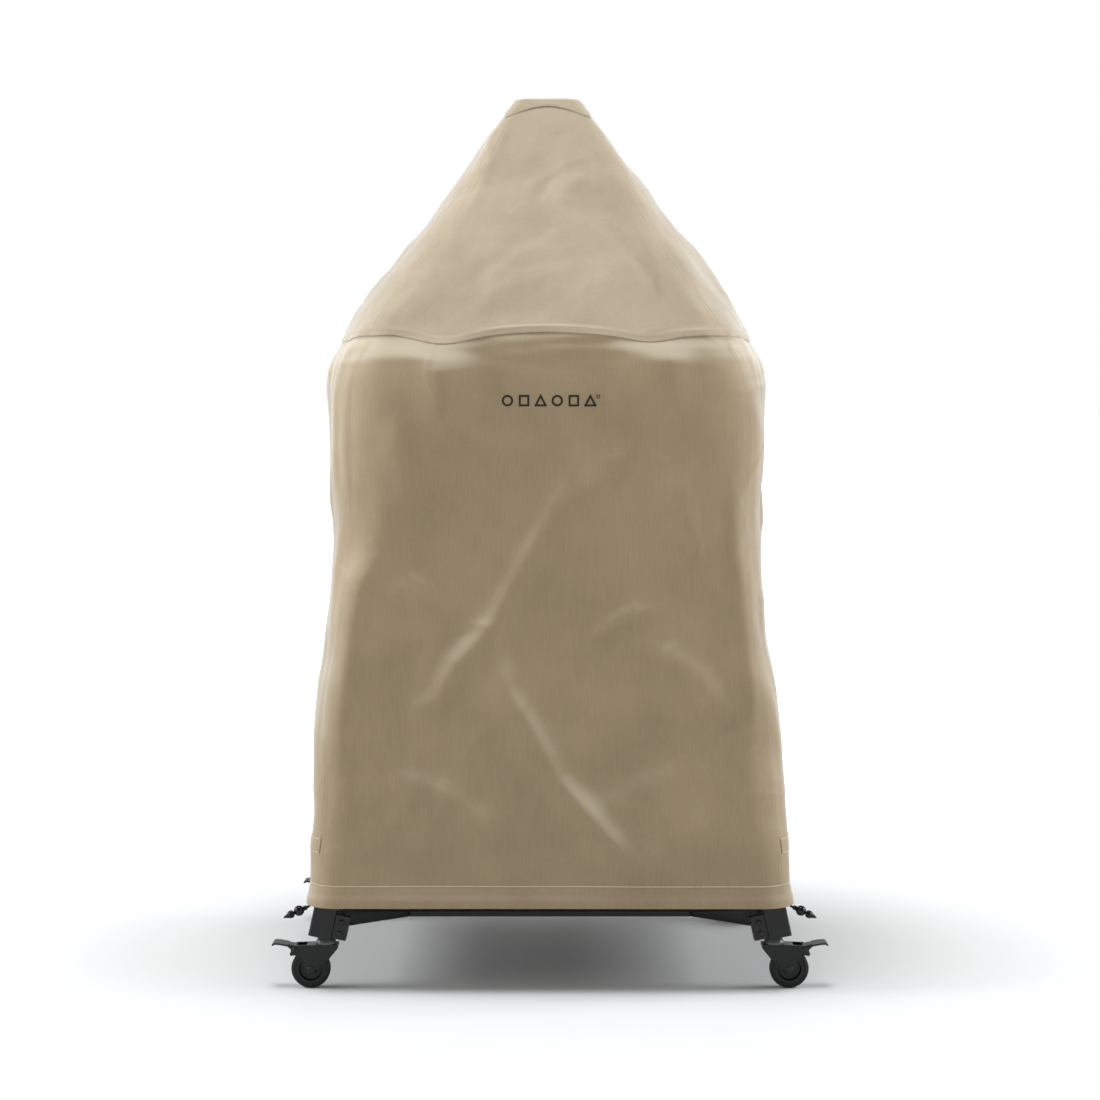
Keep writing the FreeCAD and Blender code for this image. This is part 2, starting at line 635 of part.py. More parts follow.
# Two bolts with round heads hold each arm to its tab.
bolt_radius, bolt_long = 3.0, 26.0
bolt_head, bolt_head_tall, bolt_bevel = 5.2, 4.0, 1.2
bolt_across = "dims.leg_size / 2 + dims.tab_wide / 2 - 1"
bolt_heights = [15.0, 37.0]  # up the leg
bolt_turned = turned("bolt_pattern", [
    ("0", bolt_head_tall), (bolt_head - bolt_bevel, bolt_head_tall), (bolt_head, bolt_head_tall - bolt_bevel),
    (bolt_head, "0"), (bolt_radius, "0"), (bolt_radius, -bolt_long), ("0", -bolt_long)])
bolt_lying = FreeCAD.Rotation(vec(1, 0, 0), 90)
bolts = []
for number, height in enumerate(bolt_heights):
    bolt = doc.addObject("Part::Compound", "bolt_%d" % number)
    bolt.Links = [bolt_turned]
    seat = vec(value(bolt_across), value(tab_front), height)
    bolt.Placement = leg_place.multiply(FreeCAD.Placement(seat, bolt_lying))
    bolts.append(bolt)
bolt_pair = group("bolt_pair", bolts)
leg_bored = combine("Cut", "leg_bored", leg_level, bolt_pair)
arm_fitted = combine("Cut", "arm_fitted", arm_whole, leg_block)
arm_bored = combine("Cut", "arm_bored", arm_fitted, bolt_pair)
keep_four("leg", leg_bored)
keep_four("arm", arm_bored)
keep("arm_bolts", group("arm_bolts", list(four_of("bolt_pair", bolt_pair).values())))

# A swivel race and stem stand in each leg's foot plug.
race_profile = [("", 4), (" - 3", 9), (" - 8", 13)]  # the domed race, from its rim to its crown
race_crown = 16.0  # its height over the fork
race_turned = turned("race_turned", [
    ("dims.kingpin", "dims.fork_top + dims.race_gap"), ("dims.race_radius", "dims.fork_top + dims.race_gap")]
    + [("dims.race_radius" + less, "dims.fork_top + %g" % up) for less, up in race_profile]
    + [("dims.kingpin", "dims.fork_top + %g" % race_crown)])
stem_place = FreeCAD.Placement(vec(value("-dims.stem_x"), value("-dims.stem_y"), 0), FreeCAD.Rotation())
race_turned.Placement = stem_place
tab_and_head = combine("Fuse", "tab_and_head", tab_body, arm_head)
foot_whole = combine("Fuse", "foot_whole", leg_block, tab_and_head)
race = combine("Cut", "race", race_turned, foot_whole)
plate_low = "dims.fork_top - dims.fork_plate"
rivet_tall = 6.0  # the riveted end under the fork's top plate
neck_low, neck_high = 3.0, 6.0  # where the kingpin widens to the stem, over the fork
rivet_high = plate_low + " - dims.race_gap"
rivet_low = rivet_high + " - %g" % rivet_tall
stem_turned = turned("stem_turned", [
    ("0", rivet_low), ("dims.rivet_radius", rivet_low), ("dims.rivet_radius", rivet_high),
    ("dims.kingpin", rivet_high), ("dims.kingpin", "dims.fork_top + %g" % neck_low),
    ("dims.stem_radius", "dims.fork_top + %g" % neck_high), ("dims.stem_radius", "dims.stem_top"),
    ("0", "dims.stem_top")])
stem_turned.Placement = stem_place
stem = combine("Fuse", "stem", race, stem_turned)
keep("caster_stems", group("caster_stems", list(four_of("stem", stem).values())))
plug_block = at_leg(prism("plug_block", leg_inner, leg_inner, "dims.leg_round - dims.leg_wall", "0",
                          "dims.leg_size"))
plug = combine("Cut", "plug", plug_block, stem_turned)
keep("leg_plugs", group("leg_plugs", list(four_of("plug", plug).values())))

# The lower shelf is a pan of sheet steel with its rim turned down.
shelf = prism("lower_shelf", "dims.shelf_wide", "dims.shelf_deep", "dims.shelf_round", "dims.shelf_z",
              "dims.shelf_thick")
shelf_under = new_sketch(shelf, "XY_Plane", "dims.shelf_z")
draw_rounded(shelf_under, "dims.shelf_wide - dims.shelf_sheet", "dims.shelf_deep - dims.shelf_sheet",
             "dims.shelf_round - dims.shelf_sheet")
pocket_up(shelf, shelf_under, "dims.shelf_thick - dims.shelf_sheet")
keep("lower_shelf", shelf)

# A rail on each side ties a front leg to a back leg, and the tray lies on both rails.
rail = new_body("side_rail")
rail_sketch = new_sketch(rail, "XZ_Plane")
rail_low, rail_high = "dims.leg_top_z", "dims.leg_top_z + dims.rail_size"
for inset in ("0", "dims.rail_wall"):
    draw_rectangle(rail_sketch, "-dims.leg_top_x - dims.rail_size / 2 + " + inset,
                   "-dims.leg_top_x + dims.rail_size / 2 - " + inset,
                   rail_low + " + " + inset, rail_high + " - " + inset)
pad(rail, rail_sketch, "dims.rail_long", both_ways=True)
keep("left_rail", rail)
keep("right_rail", mirrored("right_rail", rail, left_right))
tray_low = rail_high
keep("worktop_tray", prism("worktop_tray", "dims.tray_wide", "dims.tray_deep", "dims.tray_round",
                           tray_low, "dims.tray_thick"))

# ---- cooker under the cover -----------------------------------------------------------------

hearth_low = tray_low + " + dims.tray_thick"
hearth_top = hearth_low + " + dims.hearth_tall"
hearth = prism("hearth_base", "dims.hearth_wide", "dims.hearth_deep", "dims.hearth_round", hearth_low,
               "dims.hearth_tall")
hearth_under = new_sketch(hearth, "XY_Plane", hearth_low)
draw_rounded(hearth_under, "dims.hearth_wide - dims.hearth_sheet", "dims.hearth_deep - dims.hearth_sheet",
             "dims.hearth_round - dims.hearth_sheet")
pocket_up(hearth, hearth_under, "dims.hearth_tall - dims.hearth_sheet")
keep("hearth_base", hearth)
stone_bevel = " - 3"
stone_top = hearth_top + " + dims.stone_thick"
keep("cooking_stone", turned("cooking_stone", [
    ("0", hearth_top), ("dims.stone_radius", hearth_top), ("dims.stone_radius", stone_top + stone_bevel),
    ("dims.stone_radius" + stone_bevel, stone_top), ("0", stone_top)]))


def half_egg(name, radius, tall):
    """A ball stretched upwards, from which the hearth's level takes the lower half."""
    ball = doc.addObject("Part::Ellipsoid", name)
    ball.Angle1 = 0.0
    bind(ball, Radius1=tall, Radius2=radius, Radius3=radius, Placement__Base__z=hearth_top)
    return ball


dome_outer = half_egg("dome_outer", "dims.dome_radius", "dims.dome_tall")
dome_inner = half_egg("dome_inner", "dims.dome_radius - dims.dome_wall", "dims.dome_tall - dims.dome_wall")
dome_shell = combine("Cut", "dome_shell", dome_outer, dome_inner)
mouth_body = new_body("mouth_body")
mouth_low = new_sketch(mouth_body, "XZ_Plane")
draw_rectangle(mouth_low, "-dims.mouth_radius", "dims.mouth_radius", hearth_top + " - %g" % over,
               hearth_top + " + dims.mouth_rise")
pad(mouth_body, mouth_low, "dims.dome_radius + %g" % over)
mouth_arch = new_sketch(mouth_body, "XZ_Plane")
draw_circle(mouth_arch, "0", hearth_top + " + dims.mouth_rise", "dims.mouth_radius")
pad(mouth_body, mouth_arch, "dims.dome_radius + %g" % over)
dome_open = combine("Cut", "dome_open", dome_shell, mouth_body)
flue_block = rod("flue_block", "dims.flue_radius", "dims.flue_high - dims.flue_low")
bind(flue_block, Placement__Base__z="dims.flue_low")
flue_clear = rod("flue_clear", "dims.flue_radius", "dims.flue_high - dims.flue_low + dims.flue_radius")
bind(flue_clear, Placement__Base__z="dims.flue_low - dims.flue_radius")
keep("dome", combine("Cut", "dome", dome_open, flue_clear))
flue_bore = rod("flue_bore", "dims.flue_radius - dims.flue_wall", "dims.flue_high - dims.flue_low")
bind(flue_bore, Placement__Base__z="dims.flue_low")
keep("flue_pipe", combine("Cut", "flue_pipe", flue_block, flue_bore))
spigot = "dims.flue_radius - dims.flue_wall"
spigot_low = "dims.flue_high - dims.lid_spigot"
lid_edge = "dims.flue_radius + dims.lid_lip"
lid_rim, lid_peak = 4.0, 16.0  # heights over the flue
keep("flue_lid", turned("flue_lid", [
    ("0", "dims.flue_high"), (spigot + " - dims.flue_wall", "dims.flue_high"),
    (spigot + " - dims.flue_wall", spigot_low), (spigot, spigot_low), (spigot, "dims.flue_high"),
    (lid_edge, "dims.flue_high"), (lid_edge, "dims.flue_high + %g" % lid_rim),
    ("0", "dims.flue_high + %g" % lid_peak)]))

# ---- casters --------------------------------------------------------------------------------

# Where each wheel trails, as an angle in plan. Drawn, a caster trails towards -X.
casters = {
    "front_left": (-1, -1, 180.0),
    "front_right": (1, -1, 0.0),
    "back_left": (-1, 1, 180.0),
    "back_right": (1, 1, -50.0),
}
# Side views as (towards +X, up). The fork's is from the floor under its swivel, the pedal's from its pin.
fork_outline = [
    (24, "dims.fork_top"), (-20, "dims.fork_top"), ("-dims.pivot_out", 84), (-66, 79), (-66, 71),
    (-60, 66), (-46, 58), ("-dims.trail - 11", "dims.wheel_radius"), ("-dims.trail - 6", 28),
    ("-dims.trail + 6", 28), ("-dims.trail + 11", "dims.wheel_radius"), (7, 58), (24, 79)]
lever_outline = [
    (2, 8), (-14, 11), (-30, 14), (-41, 14.5), (-45, 10), (-43.5, 8.5), (-39, 11), (-30, 10.5),
    (-16, 7), (-8, 0)]
pad_outline = [(-14, 11), (-30, 14), (-41, 14.5), (-45, 10), (-43.5, 8.5), (-39, 11), (-30, 10.5), (-14, 7.4)]
shoe_outline = [(-8, -3), (3.4, -8.6), (-3.6, -11.6), (-9, -12.5), (-11, -8)]
notch_back, notch_front = 12.0, 36.0  # the opening over the pedal: behind its pin, and ahead of the swivel


def caster_place(corner, out="0", up="0"):
    """A caster's place, with the distance out along its trail and the height."""
    side, end, trail_angle = casters[corner]
    turn = FreeCAD.Rotation(vec(0, 0, 1), trail_angle - 180.0)
    stand_at = vec(side * value("dims.stem_x"), end * value("dims.stem_y"), 0)
    return FreeCAD.Placement(stand_at + turn.multVec(vec(-value(out), 0, value(up))), turn)


def make_fork(corner):
    body = new_body("fork_" + corner)
    side_view = new_sketch(body, "XZ_Plane")
    draw_polygon(side_view, fork_outline)
    pad(body, side_view, "dims.fork_wide", both_ways=True)
    gap = new_sketch(body, "YZ_Plane")
    draw_rectangle(gap, "-dims.fork_gap / 2", "dims.fork_gap / 2", "dims.running", plate_low)
    pocket_through(body, gap)
    notch = new_sketch(body, "XY_Plane")
    draw_rectangle(notch, "-dims.pivot_out - %g" % notch_back, "-%g" % notch_front,
                   "-dims.fork_gap / 2", "dims.fork_gap / 2")
    pocket_through(body, notch)
    holes = new_sketch(body, "XZ_Plane")
    draw_circle(holes, "-dims.trail", "dims.wheel_radius", "dims.axle_radius")
    draw_circle(holes, "-dims.pivot_out", "dims.pivot_z", "dims.pin_radius")
    pocket_through(body, holes)
    kingpin_hole = new_sketch(body, "XY_Plane")
    draw_circle(kingpin_hole, "0", "0", "dims.kingpin + dims.running")
    pocket_through(body, kingpin_hole)
    body.Placement = caster_place(corner)
    return body


def make_pins(corner):
    """The wheel's axle and the pedal's pin, each with a low head at both ends."""
    pins = []
    for label, radius, out, up in (("axle", "dims.axle_radius", "dims.trail", "dims.wheel_radius"),
                                   ("pin", "dims.pin_radius", "dims.pivot_out", "dims.pivot_z")):
        half, head = "dims.fork_wide / 2", radius + " + dims.head_tall"
        crown = head + " - 1"
        outline = [("0", half + " + dims.head_tall"), (crown, half + " + dims.head_tall"),
                   (head, half + " + dims.head_tall - 1"), (head, half), (radius, half)]
        outline += [(across, "-(%s)" % up) for across, up in reversed(outline)]
        pin = turned(label + "_" + corner, outline, "XY_Plane")
        pin.Placement = caster_place(corner, out, up)
        pins.append(pin)
    return group("pins_" + corner, pins)


def make_tyre(corner):
    half = "dims.wheel_wide / 2"
    outline = [("dims.rim_radius", half), ("dims.wheel_radius - dims.tread_bevel", half),
               ("dims.wheel_radius - dims.tread_bevel * 0.3", half + " - dims.tread_bevel * 0.4"),
               ("dims.wheel_radius", half + " - dims.tread_bevel * 1.2")]
    outline += [(across, "-(%s)" % up) for across, up in reversed(outline)]
    body = turned("tyre_" + corner, outline, "XY_Plane")
    body.Placement = caster_place(corner, "dims.trail", "dims.wheel_radius")
    return body


def make_hub(corner):
    """A moulded hub: boss, thin web and rim."""
    half = "(dims.wheel_wide / 2 - 0.5)"
    draft = " + 2"  # the boss and the rim widen by this towards the web
    rim = "dims.rim_radius - dims.hub_web"
    outline = [("dims.axle_radius + dims.running", half), ("dims.hub_boss", half),
               ("dims.hub_boss" + draft, "dims.hub_web"), (rim + " - 2", "dims.hub_web"),
               (rim, half), ("dims.rim_radius", half)]
    outline += [(across, "-(%s)" % up) for across, up in reversed(outline)]
    body = turned("hub_" + corner, outline, "XY_Plane")
    body.Placement = caster_place(corner, "dims.trail", "dims.wheel_radius")
    return body


def make_pedal(corner):
    body = new_body("pedal_" + corner)
    inside = "dims.fork_gap - 2 * dims.pedal_gap"
    for outline, width in ((shoe_outline, "dims.wheel_wide - 2 * dims.pedal_gap"), (lever_outline, inside),
                           (pad_outline, "dims.fork_wide + 2 * dims.pedal_gap")):
        sketch = new_sketch(body, "XZ_Plane")
        draw_polygon(sketch, outline)
        pad(body, sketch, width, both_ways=True)
    boss = new_sketch(body, "XZ_Plane")
    draw_circle(boss, "0", "0", "dims.pedal_boss")
    pad(body, boss, inside, both_ways=True)
    pin_hole = new_sketch(body, "XZ_Plane")
    draw_circle(pin_hole, "0", "0", "dims.pin_radius + dims.running")
    pocket_through(body, pin_hole)
    body.Placement = caster_place(corner, "dims.pivot_out", "dims.pivot_z")
    return body


for corner in casters:
    keep("caster_fork_" + corner, make_fork(corner))
    keep("caster_pins_" + corner, make_pins(corner))
    keep("caster_tyre_" + corner, make_tyre(corner))
    keep("caster_hub_" + corner, make_hub(corner))
    keep("brake_pedal_" + corner, make_pedal(corner))

# ---- check and write ------------------------------------------------------------------------

doc.recompute()
faults = [made.Label for made in doc.Objects if "Invalid" in made.State or "Error" in made.State]
for made in nodes:
    if made.Shape.isNull() or not made.Shape.isValid() or not made.Shape.Solids:
        faults.append(made.Label + " has no sound shape")
if faults:
    raise RuntimeError("failed: " + ", ".join(faults))

os.makedirs("parts", exist_ok=True)
whole = FreeCAD.BoundBox()
for made in nodes:
    made.Shape.exportStep("parts/%s.step" % made.Label)
    whole.add(made.Shape.BoundBox)
    print("%-26s %2d solids %10.0f mm3" % (made.Label, len(made.Shape.Solids), made.Shape.Volume))
print(len(nodes), "sub-parts,", [round(v, 1) for v in (whole.XMin, whole.XMax, whole.YMin, whole.YMax,
                                                      whole.ZMin, whole.ZMax)])
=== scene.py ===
import math
import bpy
import numpy as np
from mathutils import Matrix, Vector, noise
from mathutils.bvhtree import BVHTree


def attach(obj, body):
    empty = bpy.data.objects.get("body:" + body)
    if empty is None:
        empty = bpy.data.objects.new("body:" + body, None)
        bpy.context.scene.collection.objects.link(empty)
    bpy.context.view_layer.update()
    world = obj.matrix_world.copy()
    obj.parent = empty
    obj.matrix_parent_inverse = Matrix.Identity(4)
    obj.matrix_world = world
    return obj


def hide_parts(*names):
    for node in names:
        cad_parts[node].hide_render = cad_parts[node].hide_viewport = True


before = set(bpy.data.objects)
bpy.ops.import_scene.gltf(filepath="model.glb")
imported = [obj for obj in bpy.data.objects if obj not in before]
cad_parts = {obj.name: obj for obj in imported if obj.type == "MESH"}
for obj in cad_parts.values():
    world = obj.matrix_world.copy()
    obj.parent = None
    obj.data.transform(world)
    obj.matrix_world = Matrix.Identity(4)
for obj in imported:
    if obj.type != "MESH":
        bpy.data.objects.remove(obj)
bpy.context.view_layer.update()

bpy.context.scene.view_settings.view_transform = "Standard"
print("frame loaded")


# ---- camera, floor and light
studio = {
    "eye": (0.0, -4.88, 1.125),    # level with the skirt's chest
    "pitch": 3.54,                 # degrees down
    "lens": 79.0,
    "floorHalf": 160.0,
    "paperTone": 0.66,
    "skyDim": 0.06,                # the room is dim but for a white sweep behind and along the horizon
    # white parts: the direction's axis, where it has faded out, where it is full, how bright it is
    "glows": [("Y", 0.80, 0.94, 1.0), ("Z", 0.22, 0.13, 1.0), ("X", 0.45, 0.95, 2.0),
              ("X", -0.45, -0.95, 2.2)],
    "paperGlow": [(0.45, 2.0, 0.50), (2.2, 9.0, 0.50)],    # it brightens between two distances, by how much
    "lampTint": (0.93, 0.98, 1.0),
    "lights": [                    # name, place, aims at, size, watts
        ("overheadSoftbox", (-0.3, -1.0, 6.6), (0.0, 0.1, 0.9), 2.4, 228.0),
        ("leftSoftbox", (-3.3, -0.4, 2.3), (0.0, 0.0, 0.9), 1.3, 80.0),
        ("rightSoftbox", (3.4, 0.0, 2.1), (0.0, 0.0, 0.9), 1.5, 76.0),
    ],
}


def aimed(obj, target):
    away = Vector(target) - obj.location
    obj.rotation_euler = away.to_track_quat("-Z", "Y").to_euler()


def addObject(name, data):
    made = bpy.data.objects.new(name, data)
    bpy.context.scene.collection.objects.link(made)
    return made


def buildStudio():
    camera = addObject("camera", bpy.data.cameras.new("camera"))
    camera.location = studio["eye"]
    camera.rotation_euler = (math.radians(90 - studio["pitch"]), 0, 0)
    camera.data.lens = studio["lens"]
    bpy.context.scene.camera = camera
    for name, place, target, size, watts in studio["lights"]:
        light = addObject(name, bpy.data.lights.new(name, "AREA"))
        light.location = place
        light.data.size = size
        light.data.energy = watts
        light.data.color = studio["lampTint"]
        aimed(light, target)
    world = bpy.data.worlds.new("whiteRoom")
    bpy.context.scene.world = world
    world.use_nodes = True
    tree = world.node_tree
    sky = tree.nodes["Background"]
    sky.inputs["Color"].default_value = (1, 1, 1, 1)
    way = addNode(tree, "ShaderNodeTexCoord").outputs["Generated"]
    parts = addNode(tree, "ShaderNodeSeparateXYZ", links={"Vector": way}).outputs
    strongest = None
    for axis, paintedLightShare, full, bright in studio["glows"]:
        span = {"From Min": paintedLightShare, "From Max": full, "To Min": studio["skyDim"], "To Max": bright}
        glow = addNode(tree, "ShaderNodeMapRange", span, {"Value": parts[axis]},
                       interpolation_type="SMOOTHSTEP").outputs["Result"]
        strongest = glow if strongest is None else addNode(
            tree, "ShaderNodeMath", links={0: strongest, 1: glow}, operation="MAXIMUM").outputs["Value"]
    tree.links.new(strongest, sky.inputs["Strength"])


# ---- materials
def linear(code, alpha=1.0):
    parts = [int(code[i:i + 2], 16) / 255 for i in (1, 3, 5)]
    return tuple(c / 12.92 if c <= 0.04045 else ((c + 0.055) / 1.055) ** 2.4 for c in parts) + (alpha,)


# stops are for a colour ramp: place, sRGB hex
def addNode(tree, kind, values=None, links=None, stops=(), **settings):
    node = tree.nodes.new(kind)
    for name, setting in settings.items():
        setattr(node, name, setting)
    for k, (place, code) in enumerate(stops):
        node.color_ramp.elements[k].position, node.color_ramp.elements[k].color = place, linear(code)
    for name, value in (values or {}).items():
        node.inputs[name].default_value = value
    for name, source in (links or {}).items():
        tree.links.new(source, node.inputs[name])
    return node


def newMaterial(name, values):
    material = bpy.data.materials.new(name)
    material.use_nodes = True
    tree = material.node_tree
    shader = tree.nodes["Principled BSDF"]
    for key, value in values.items():
        shader.inputs[key].default_value = value
    return material, tree, shader


def stretchedNoise(tree, place, scale, detail, rough=0.5):
    mapping = addNode(tree, "ShaderNodeMapping", {"Scale": scale}, {"Vector": place})
    texture = addNode(tree, "ShaderNodeTexNoise", {"Scale": 1.0, "Detail": detail, "Roughness": rough},
                      {"Vector": mapping.outputs["Vector"]})
    return texture.outputs["Fac"]


# Coated cotton canvas: a dull plain weave with upright slubs. The real threads are 0.6 mm apart, too fine
# to show from here, so the slubs are drawn 2.4 mm apart.
canvasLook = {
    "shader": {"Roughness": 0.86, "Sheen Weight": 0.7, "Sheen Roughness": 0.42},
    # noise: scale, detail and, for the clouds, roughness
    "warp": ((420, 420, 16), 2.0),
    "weft": ((40, 40, 620), 1.0),
    "cloud": ((8, 8, 7), 5.0, 0.62),
    "grain": ((1300, 1300, 1300), 1.0),
    "weftShare": 0.22,
    "cloudShare": 0.62,
    "grainShare": 0.35,
    "darkUpTo": 0.34, "lightFrom": 0.66,
    "bump": 0.26, "bumpDeep": 0.0012,
    # painted light: how far the cloth faces up where it begins to be drawn paler and where it is palest, then
    # how pale that is
    "upLight": {"From Min": 0.10, "From Max": 0.58, "To Max": 0.80},
}


def makeCanvas(name, light, dark, slub=1.0, paintedUpLight=None):
    look = canvasLook
    material, tree, shader = newMaterial(name, look["shader"])
    coordinates = addNode(tree, "ShaderNodeTexCoord").outputs
    warp, weft, cloud, grain = (stretchedNoise(tree, coordinates["Object"], *look[kind])
                                for kind in ("warp", "weft", "cloud", "grain"))
    threads = addNode(tree, "ShaderNodeMix", {0: look["weftShare"]}, {2: warp, 3: weft},
                      data_type="FLOAT").outputs[0]
    mixed = addNode(tree, "ShaderNodeMix", {0: look["cloudShare"]}, {2: threads, 3: cloud},
                    data_type="FLOAT").outputs[0]
    tone = addNode(tree, "ShaderNodeValToRGB", links={"Fac": mixed},
                   stops=[(look["darkUpTo"], dark), (look["lightFrom"], light)]).outputs["Color"]
    if paintedUpLight:    # painted light: the cloth is drawn paler wherever it faces up, where the light from above falls on it
        upward = addNode(tree, "ShaderNodeSeparateXYZ", links={"Vector": coordinates["Normal"]}).outputs["Z"]
        paintedLightShare = addNode(tree, "ShaderNodeMapRange", look["upLight"], {"Value": upward},
                        interpolation_type="SMOOTHSTEP").outputs["Result"]
        tone = addNode(tree, "ShaderNodeMix", {7: linear(paintedUpLight)}, {0: paintedLightShare, 6: tone},
                       data_type="RGBA").outputs[2]
    tree.links.new(tone, shader.inputs["Base Color"])
    height = addNode(tree, "ShaderNodeMix", {0: look["grainShare"]}, {2: threads, 3: grain},
                     data_type="FLOAT").outputs[0]
    bump = addNode(tree, "ShaderNodeBump", {"Strength": look["bump"] * slub, "Distance": look["bumpDeep"]},
                   {"Height": height})
    tree.links.new(bump.outputs["Normal"], shader.inputs["Normal"])
    return material


# Powder coat on steel: satin black with a fine orange peel and paler rubbed spots. The plastics, the
# print and the clay use it too, with their own roughness and peel.
coatLook = {
    "specular": 0.32,
    "spots": ((30, 30, 30), 5.0, 0.6), "spotsFrom": 0.45, "spotsFull": 0.75,
    "skin": ((900, 900, 900), 2.0), "skinDeep": 0.0004,
    "smoother": 0.07, "rougher": 0.1,    # how far the roughness strays either way
}


def makePowderCoat(name, colour, worn, roughness=0.42, peel=0.12):
    look = coatLook
    material, tree, shader = newMaterial(name, {"Specular IOR Level": look["specular"]})
    place = addNode(tree, "ShaderNodeTexCoord").outputs["Object"]
    spots, skin = (stretchedNoise(tree, place, *look[kind]) for kind in ("spots", "skin"))
    tone = addNode(tree, "ShaderNodeValToRGB", links={"Fac": spots},
                   stops=[(look["spotsFrom"], colour), (look["spotsFull"], worn)])
    tree.links.new(tone.outputs["Color"], shader.inputs["Base Color"])
    strayed = {"To Min": roughness - look["smoother"], "To Max": roughness + look["rougher"]}
    rough = addNode(tree, "ShaderNodeMapRange", strayed, {"Value": spots})
    tree.links.new(rough.outputs["Result"], shader.inputs["Roughness"])
    bump = addNode(tree, "ShaderNodeBump", {"Strength": peel, "Distance": look["skinDeep"]}, {"Height": skin})
    tree.links.new(bump.outputs["Normal"], shader.inputs["Normal"])
    return material


materials = {
    # canvas, matt with a soft sheen at the edges; one cloth in lit and shaded copies: the hood is painted
    # paler with light, the skirt and the hood's side gores darker with painted shade, the cap between them,
    # and the skirt gets painted light where it faces up
    "skirt": makeCanvas("coatedCanvasSkirt", "#907e62", "#817055", paintedUpLight="#b1a48f"),
    "hood": makeCanvas("coatedCanvasHood", "#a89881", "#9a8a73"),
    "hoodSide": makeCanvas("coatedCanvasHoodSide", "#a1917a", "#94846d"),
    "cap": makeCanvas("coatedCanvasCap", "#a5957e", "#988871"),
    # polyester webbing, in stronger relief than the canvas, and sewing threads, which are nearly smooth
    "webbing": makeCanvas("polyesterWebbing", "#928064", "#847257", slub=1.6),
    "thread": makeCanvas("polyesterThread", "#f0e8d8", "#e2d8c5", slub=0.4),
    "toneThread": makeCanvas("polyesterToneThread", "#928064", "#847257", slub=0.4),
    # the hood's thread takes the hood's painted paler tone
    "hoodThread": makeCanvas("polyesterHoodThread", "#a89881", "#9a8a73", slub=0.4),
    # dull black elastic, and print that lies matt on the cloth
    "elastic": makePowderCoat("braidedElastic", "#0e0e0e", "#1a1a1a", 0.8, 0.3),
    "ink": makePowderCoat("screenPrintInk", "#17150f", "#221f18", 0.7, 0.3),
    # satin black coat on steel, glossier on the bolts and duller on the arms
    "legSteel": makePowderCoat("powderCoatedLegs", "#151516", "#1f1f20", 0.38),
    "armSteel": makePowderCoat("powderCoatedArms", "#0a0a0b", "#131314", 0.45),
    "boltSteel": makePowderCoat("blackenedBolts", "#0e0e0f", "#1d1d1f", 0.32),
    "forkSteel": makePowderCoat("paintedForks", "#0a0a0a", "#131314", 0.36),
    # flat black tread, glossy polypropylene, and bare zinc that glints
    "rubber": makePowderCoat("mouldedTread", "#080808", "#101010", 0.58),
    "lockPlastic": makePowderCoat("glossPolypropylene", "#060606", "#0b0b0b", 0.16, 0.02),
    "race": makePowderCoat("darkZincRaces", "#4c4c4e", "#6b6b6d", 0.25),
    # chalky, mottled clay and stone
    "clay": makePowderCoat("castRefractory", "#6c675f", "#8a847a", 0.85, 0.4),
    "stone": makePowderCoat("cordieriteStone", "#b59f80", "#c8b596", 0.9, 0.5),
}
print("materials made")


# ---- the cover's cut
# Each level: height, half width, half depth, corner radius, then how far the corners are drawn in
# across the sides and across the front, as shares.
coverCut = {
    "skirt": [
        (0.165, 0.4670, 0.3640, 0.064, 0.00, 0.00),
        (0.200, 0.4615, 0.3615, 0.064, 0.00, 0.00),
        (0.266, 0.4570, 0.3575, 0.068, 0.00, 0.00),
        (0.343, 0.4515, 0.3525, 0.074, 0.00, 0.00),
        (0.420, 0.4490, 0.3485, 0.082, 0.00, 0.00),
        (0.498, 0.4460, 0.3450, 0.090, 0.00, 0.00),
        (0.575, 0.4390, 0.3415, 0.098, 0.00, 0.00),
        (0.653, 0.4260, 0.3375, 0.104, 0.00, 0.00),
        (0.730, 0.4195, 0.3345, 0.108, 0.00, 0.00),
        (0.885, 0.4120, 0.3305, 0.118, 0.00, 0.00),
        (1.040, 0.4215, 0.3340, 0.128, 0.00, 0.00),
        (1.117, 0.4220, 0.3350, 0.128, 0.01, 0.00),
        (1.148, 0.4225, 0.3345, 0.122, 0.03, 0.01),
        (1.179, 0.4210, 0.3330, 0.112, 0.06, 0.02),
        (1.210, 0.4160, 0.3300, 0.092, 0.10, 0.03),
        (1.241, 0.4050, 0.3245, 0.066, 0.14, 0.05),
        (1.275, 0.3910, 0.3140, 0.046, 0.16, 0.05),
    ],
    "hood": [
        (1.236, 0.4075, 0.3265, 0.066, 0.14, 0.05),
        (1.251, 0.4040, 0.3225, 0.056, 0.15, 0.05),
        (1.268, 0.3980, 0.3130, 0.046, 0.16, 0.05),
        (1.332, 0.3570, 0.2800, 0.060, 0.18, 0.05),
        (1.395, 0.3090, 0.2440, 0.060, 0.19, 0.05),
        (1.459, 0.2610, 0.2060, 0.054, 0.20, 0.05),
        (1.523, 0.2130, 0.1680, 0.046, 0.19, 0.05),
        (1.587, 0.1635, 0.1300, 0.036, 0.15, 0.04),
        (1.650, 0.1160, 0.0920, 0.026, 0.10, 0.03),
        (1.690, 0.0860, 0.0690, 0.016, 0.06, 0.02),
        (1.716, 0.0655, 0.0520, 0.015, 0.04, 0.02),
    ],
    "pinchPower": 2.5,
    # the cover hangs a little to the left: height, sideways shift
    "lean": [(0.165, 0.0), (0.30, 0.0), (0.40, -0.002), (0.60, -0.0060), (1.30, -0.0060), (1.42, -0.0030),
             (1.55, -0.0020), (1.65, -0.0045), (1.74, -0.0050)],
    "hemTall": 0.042,
    "lap": 0.010,          # hood cloth below the fold of the seam
    "proud": 0.0014,       # the lap stands this far off the skirt
    "clothThick": 0.0016,
}
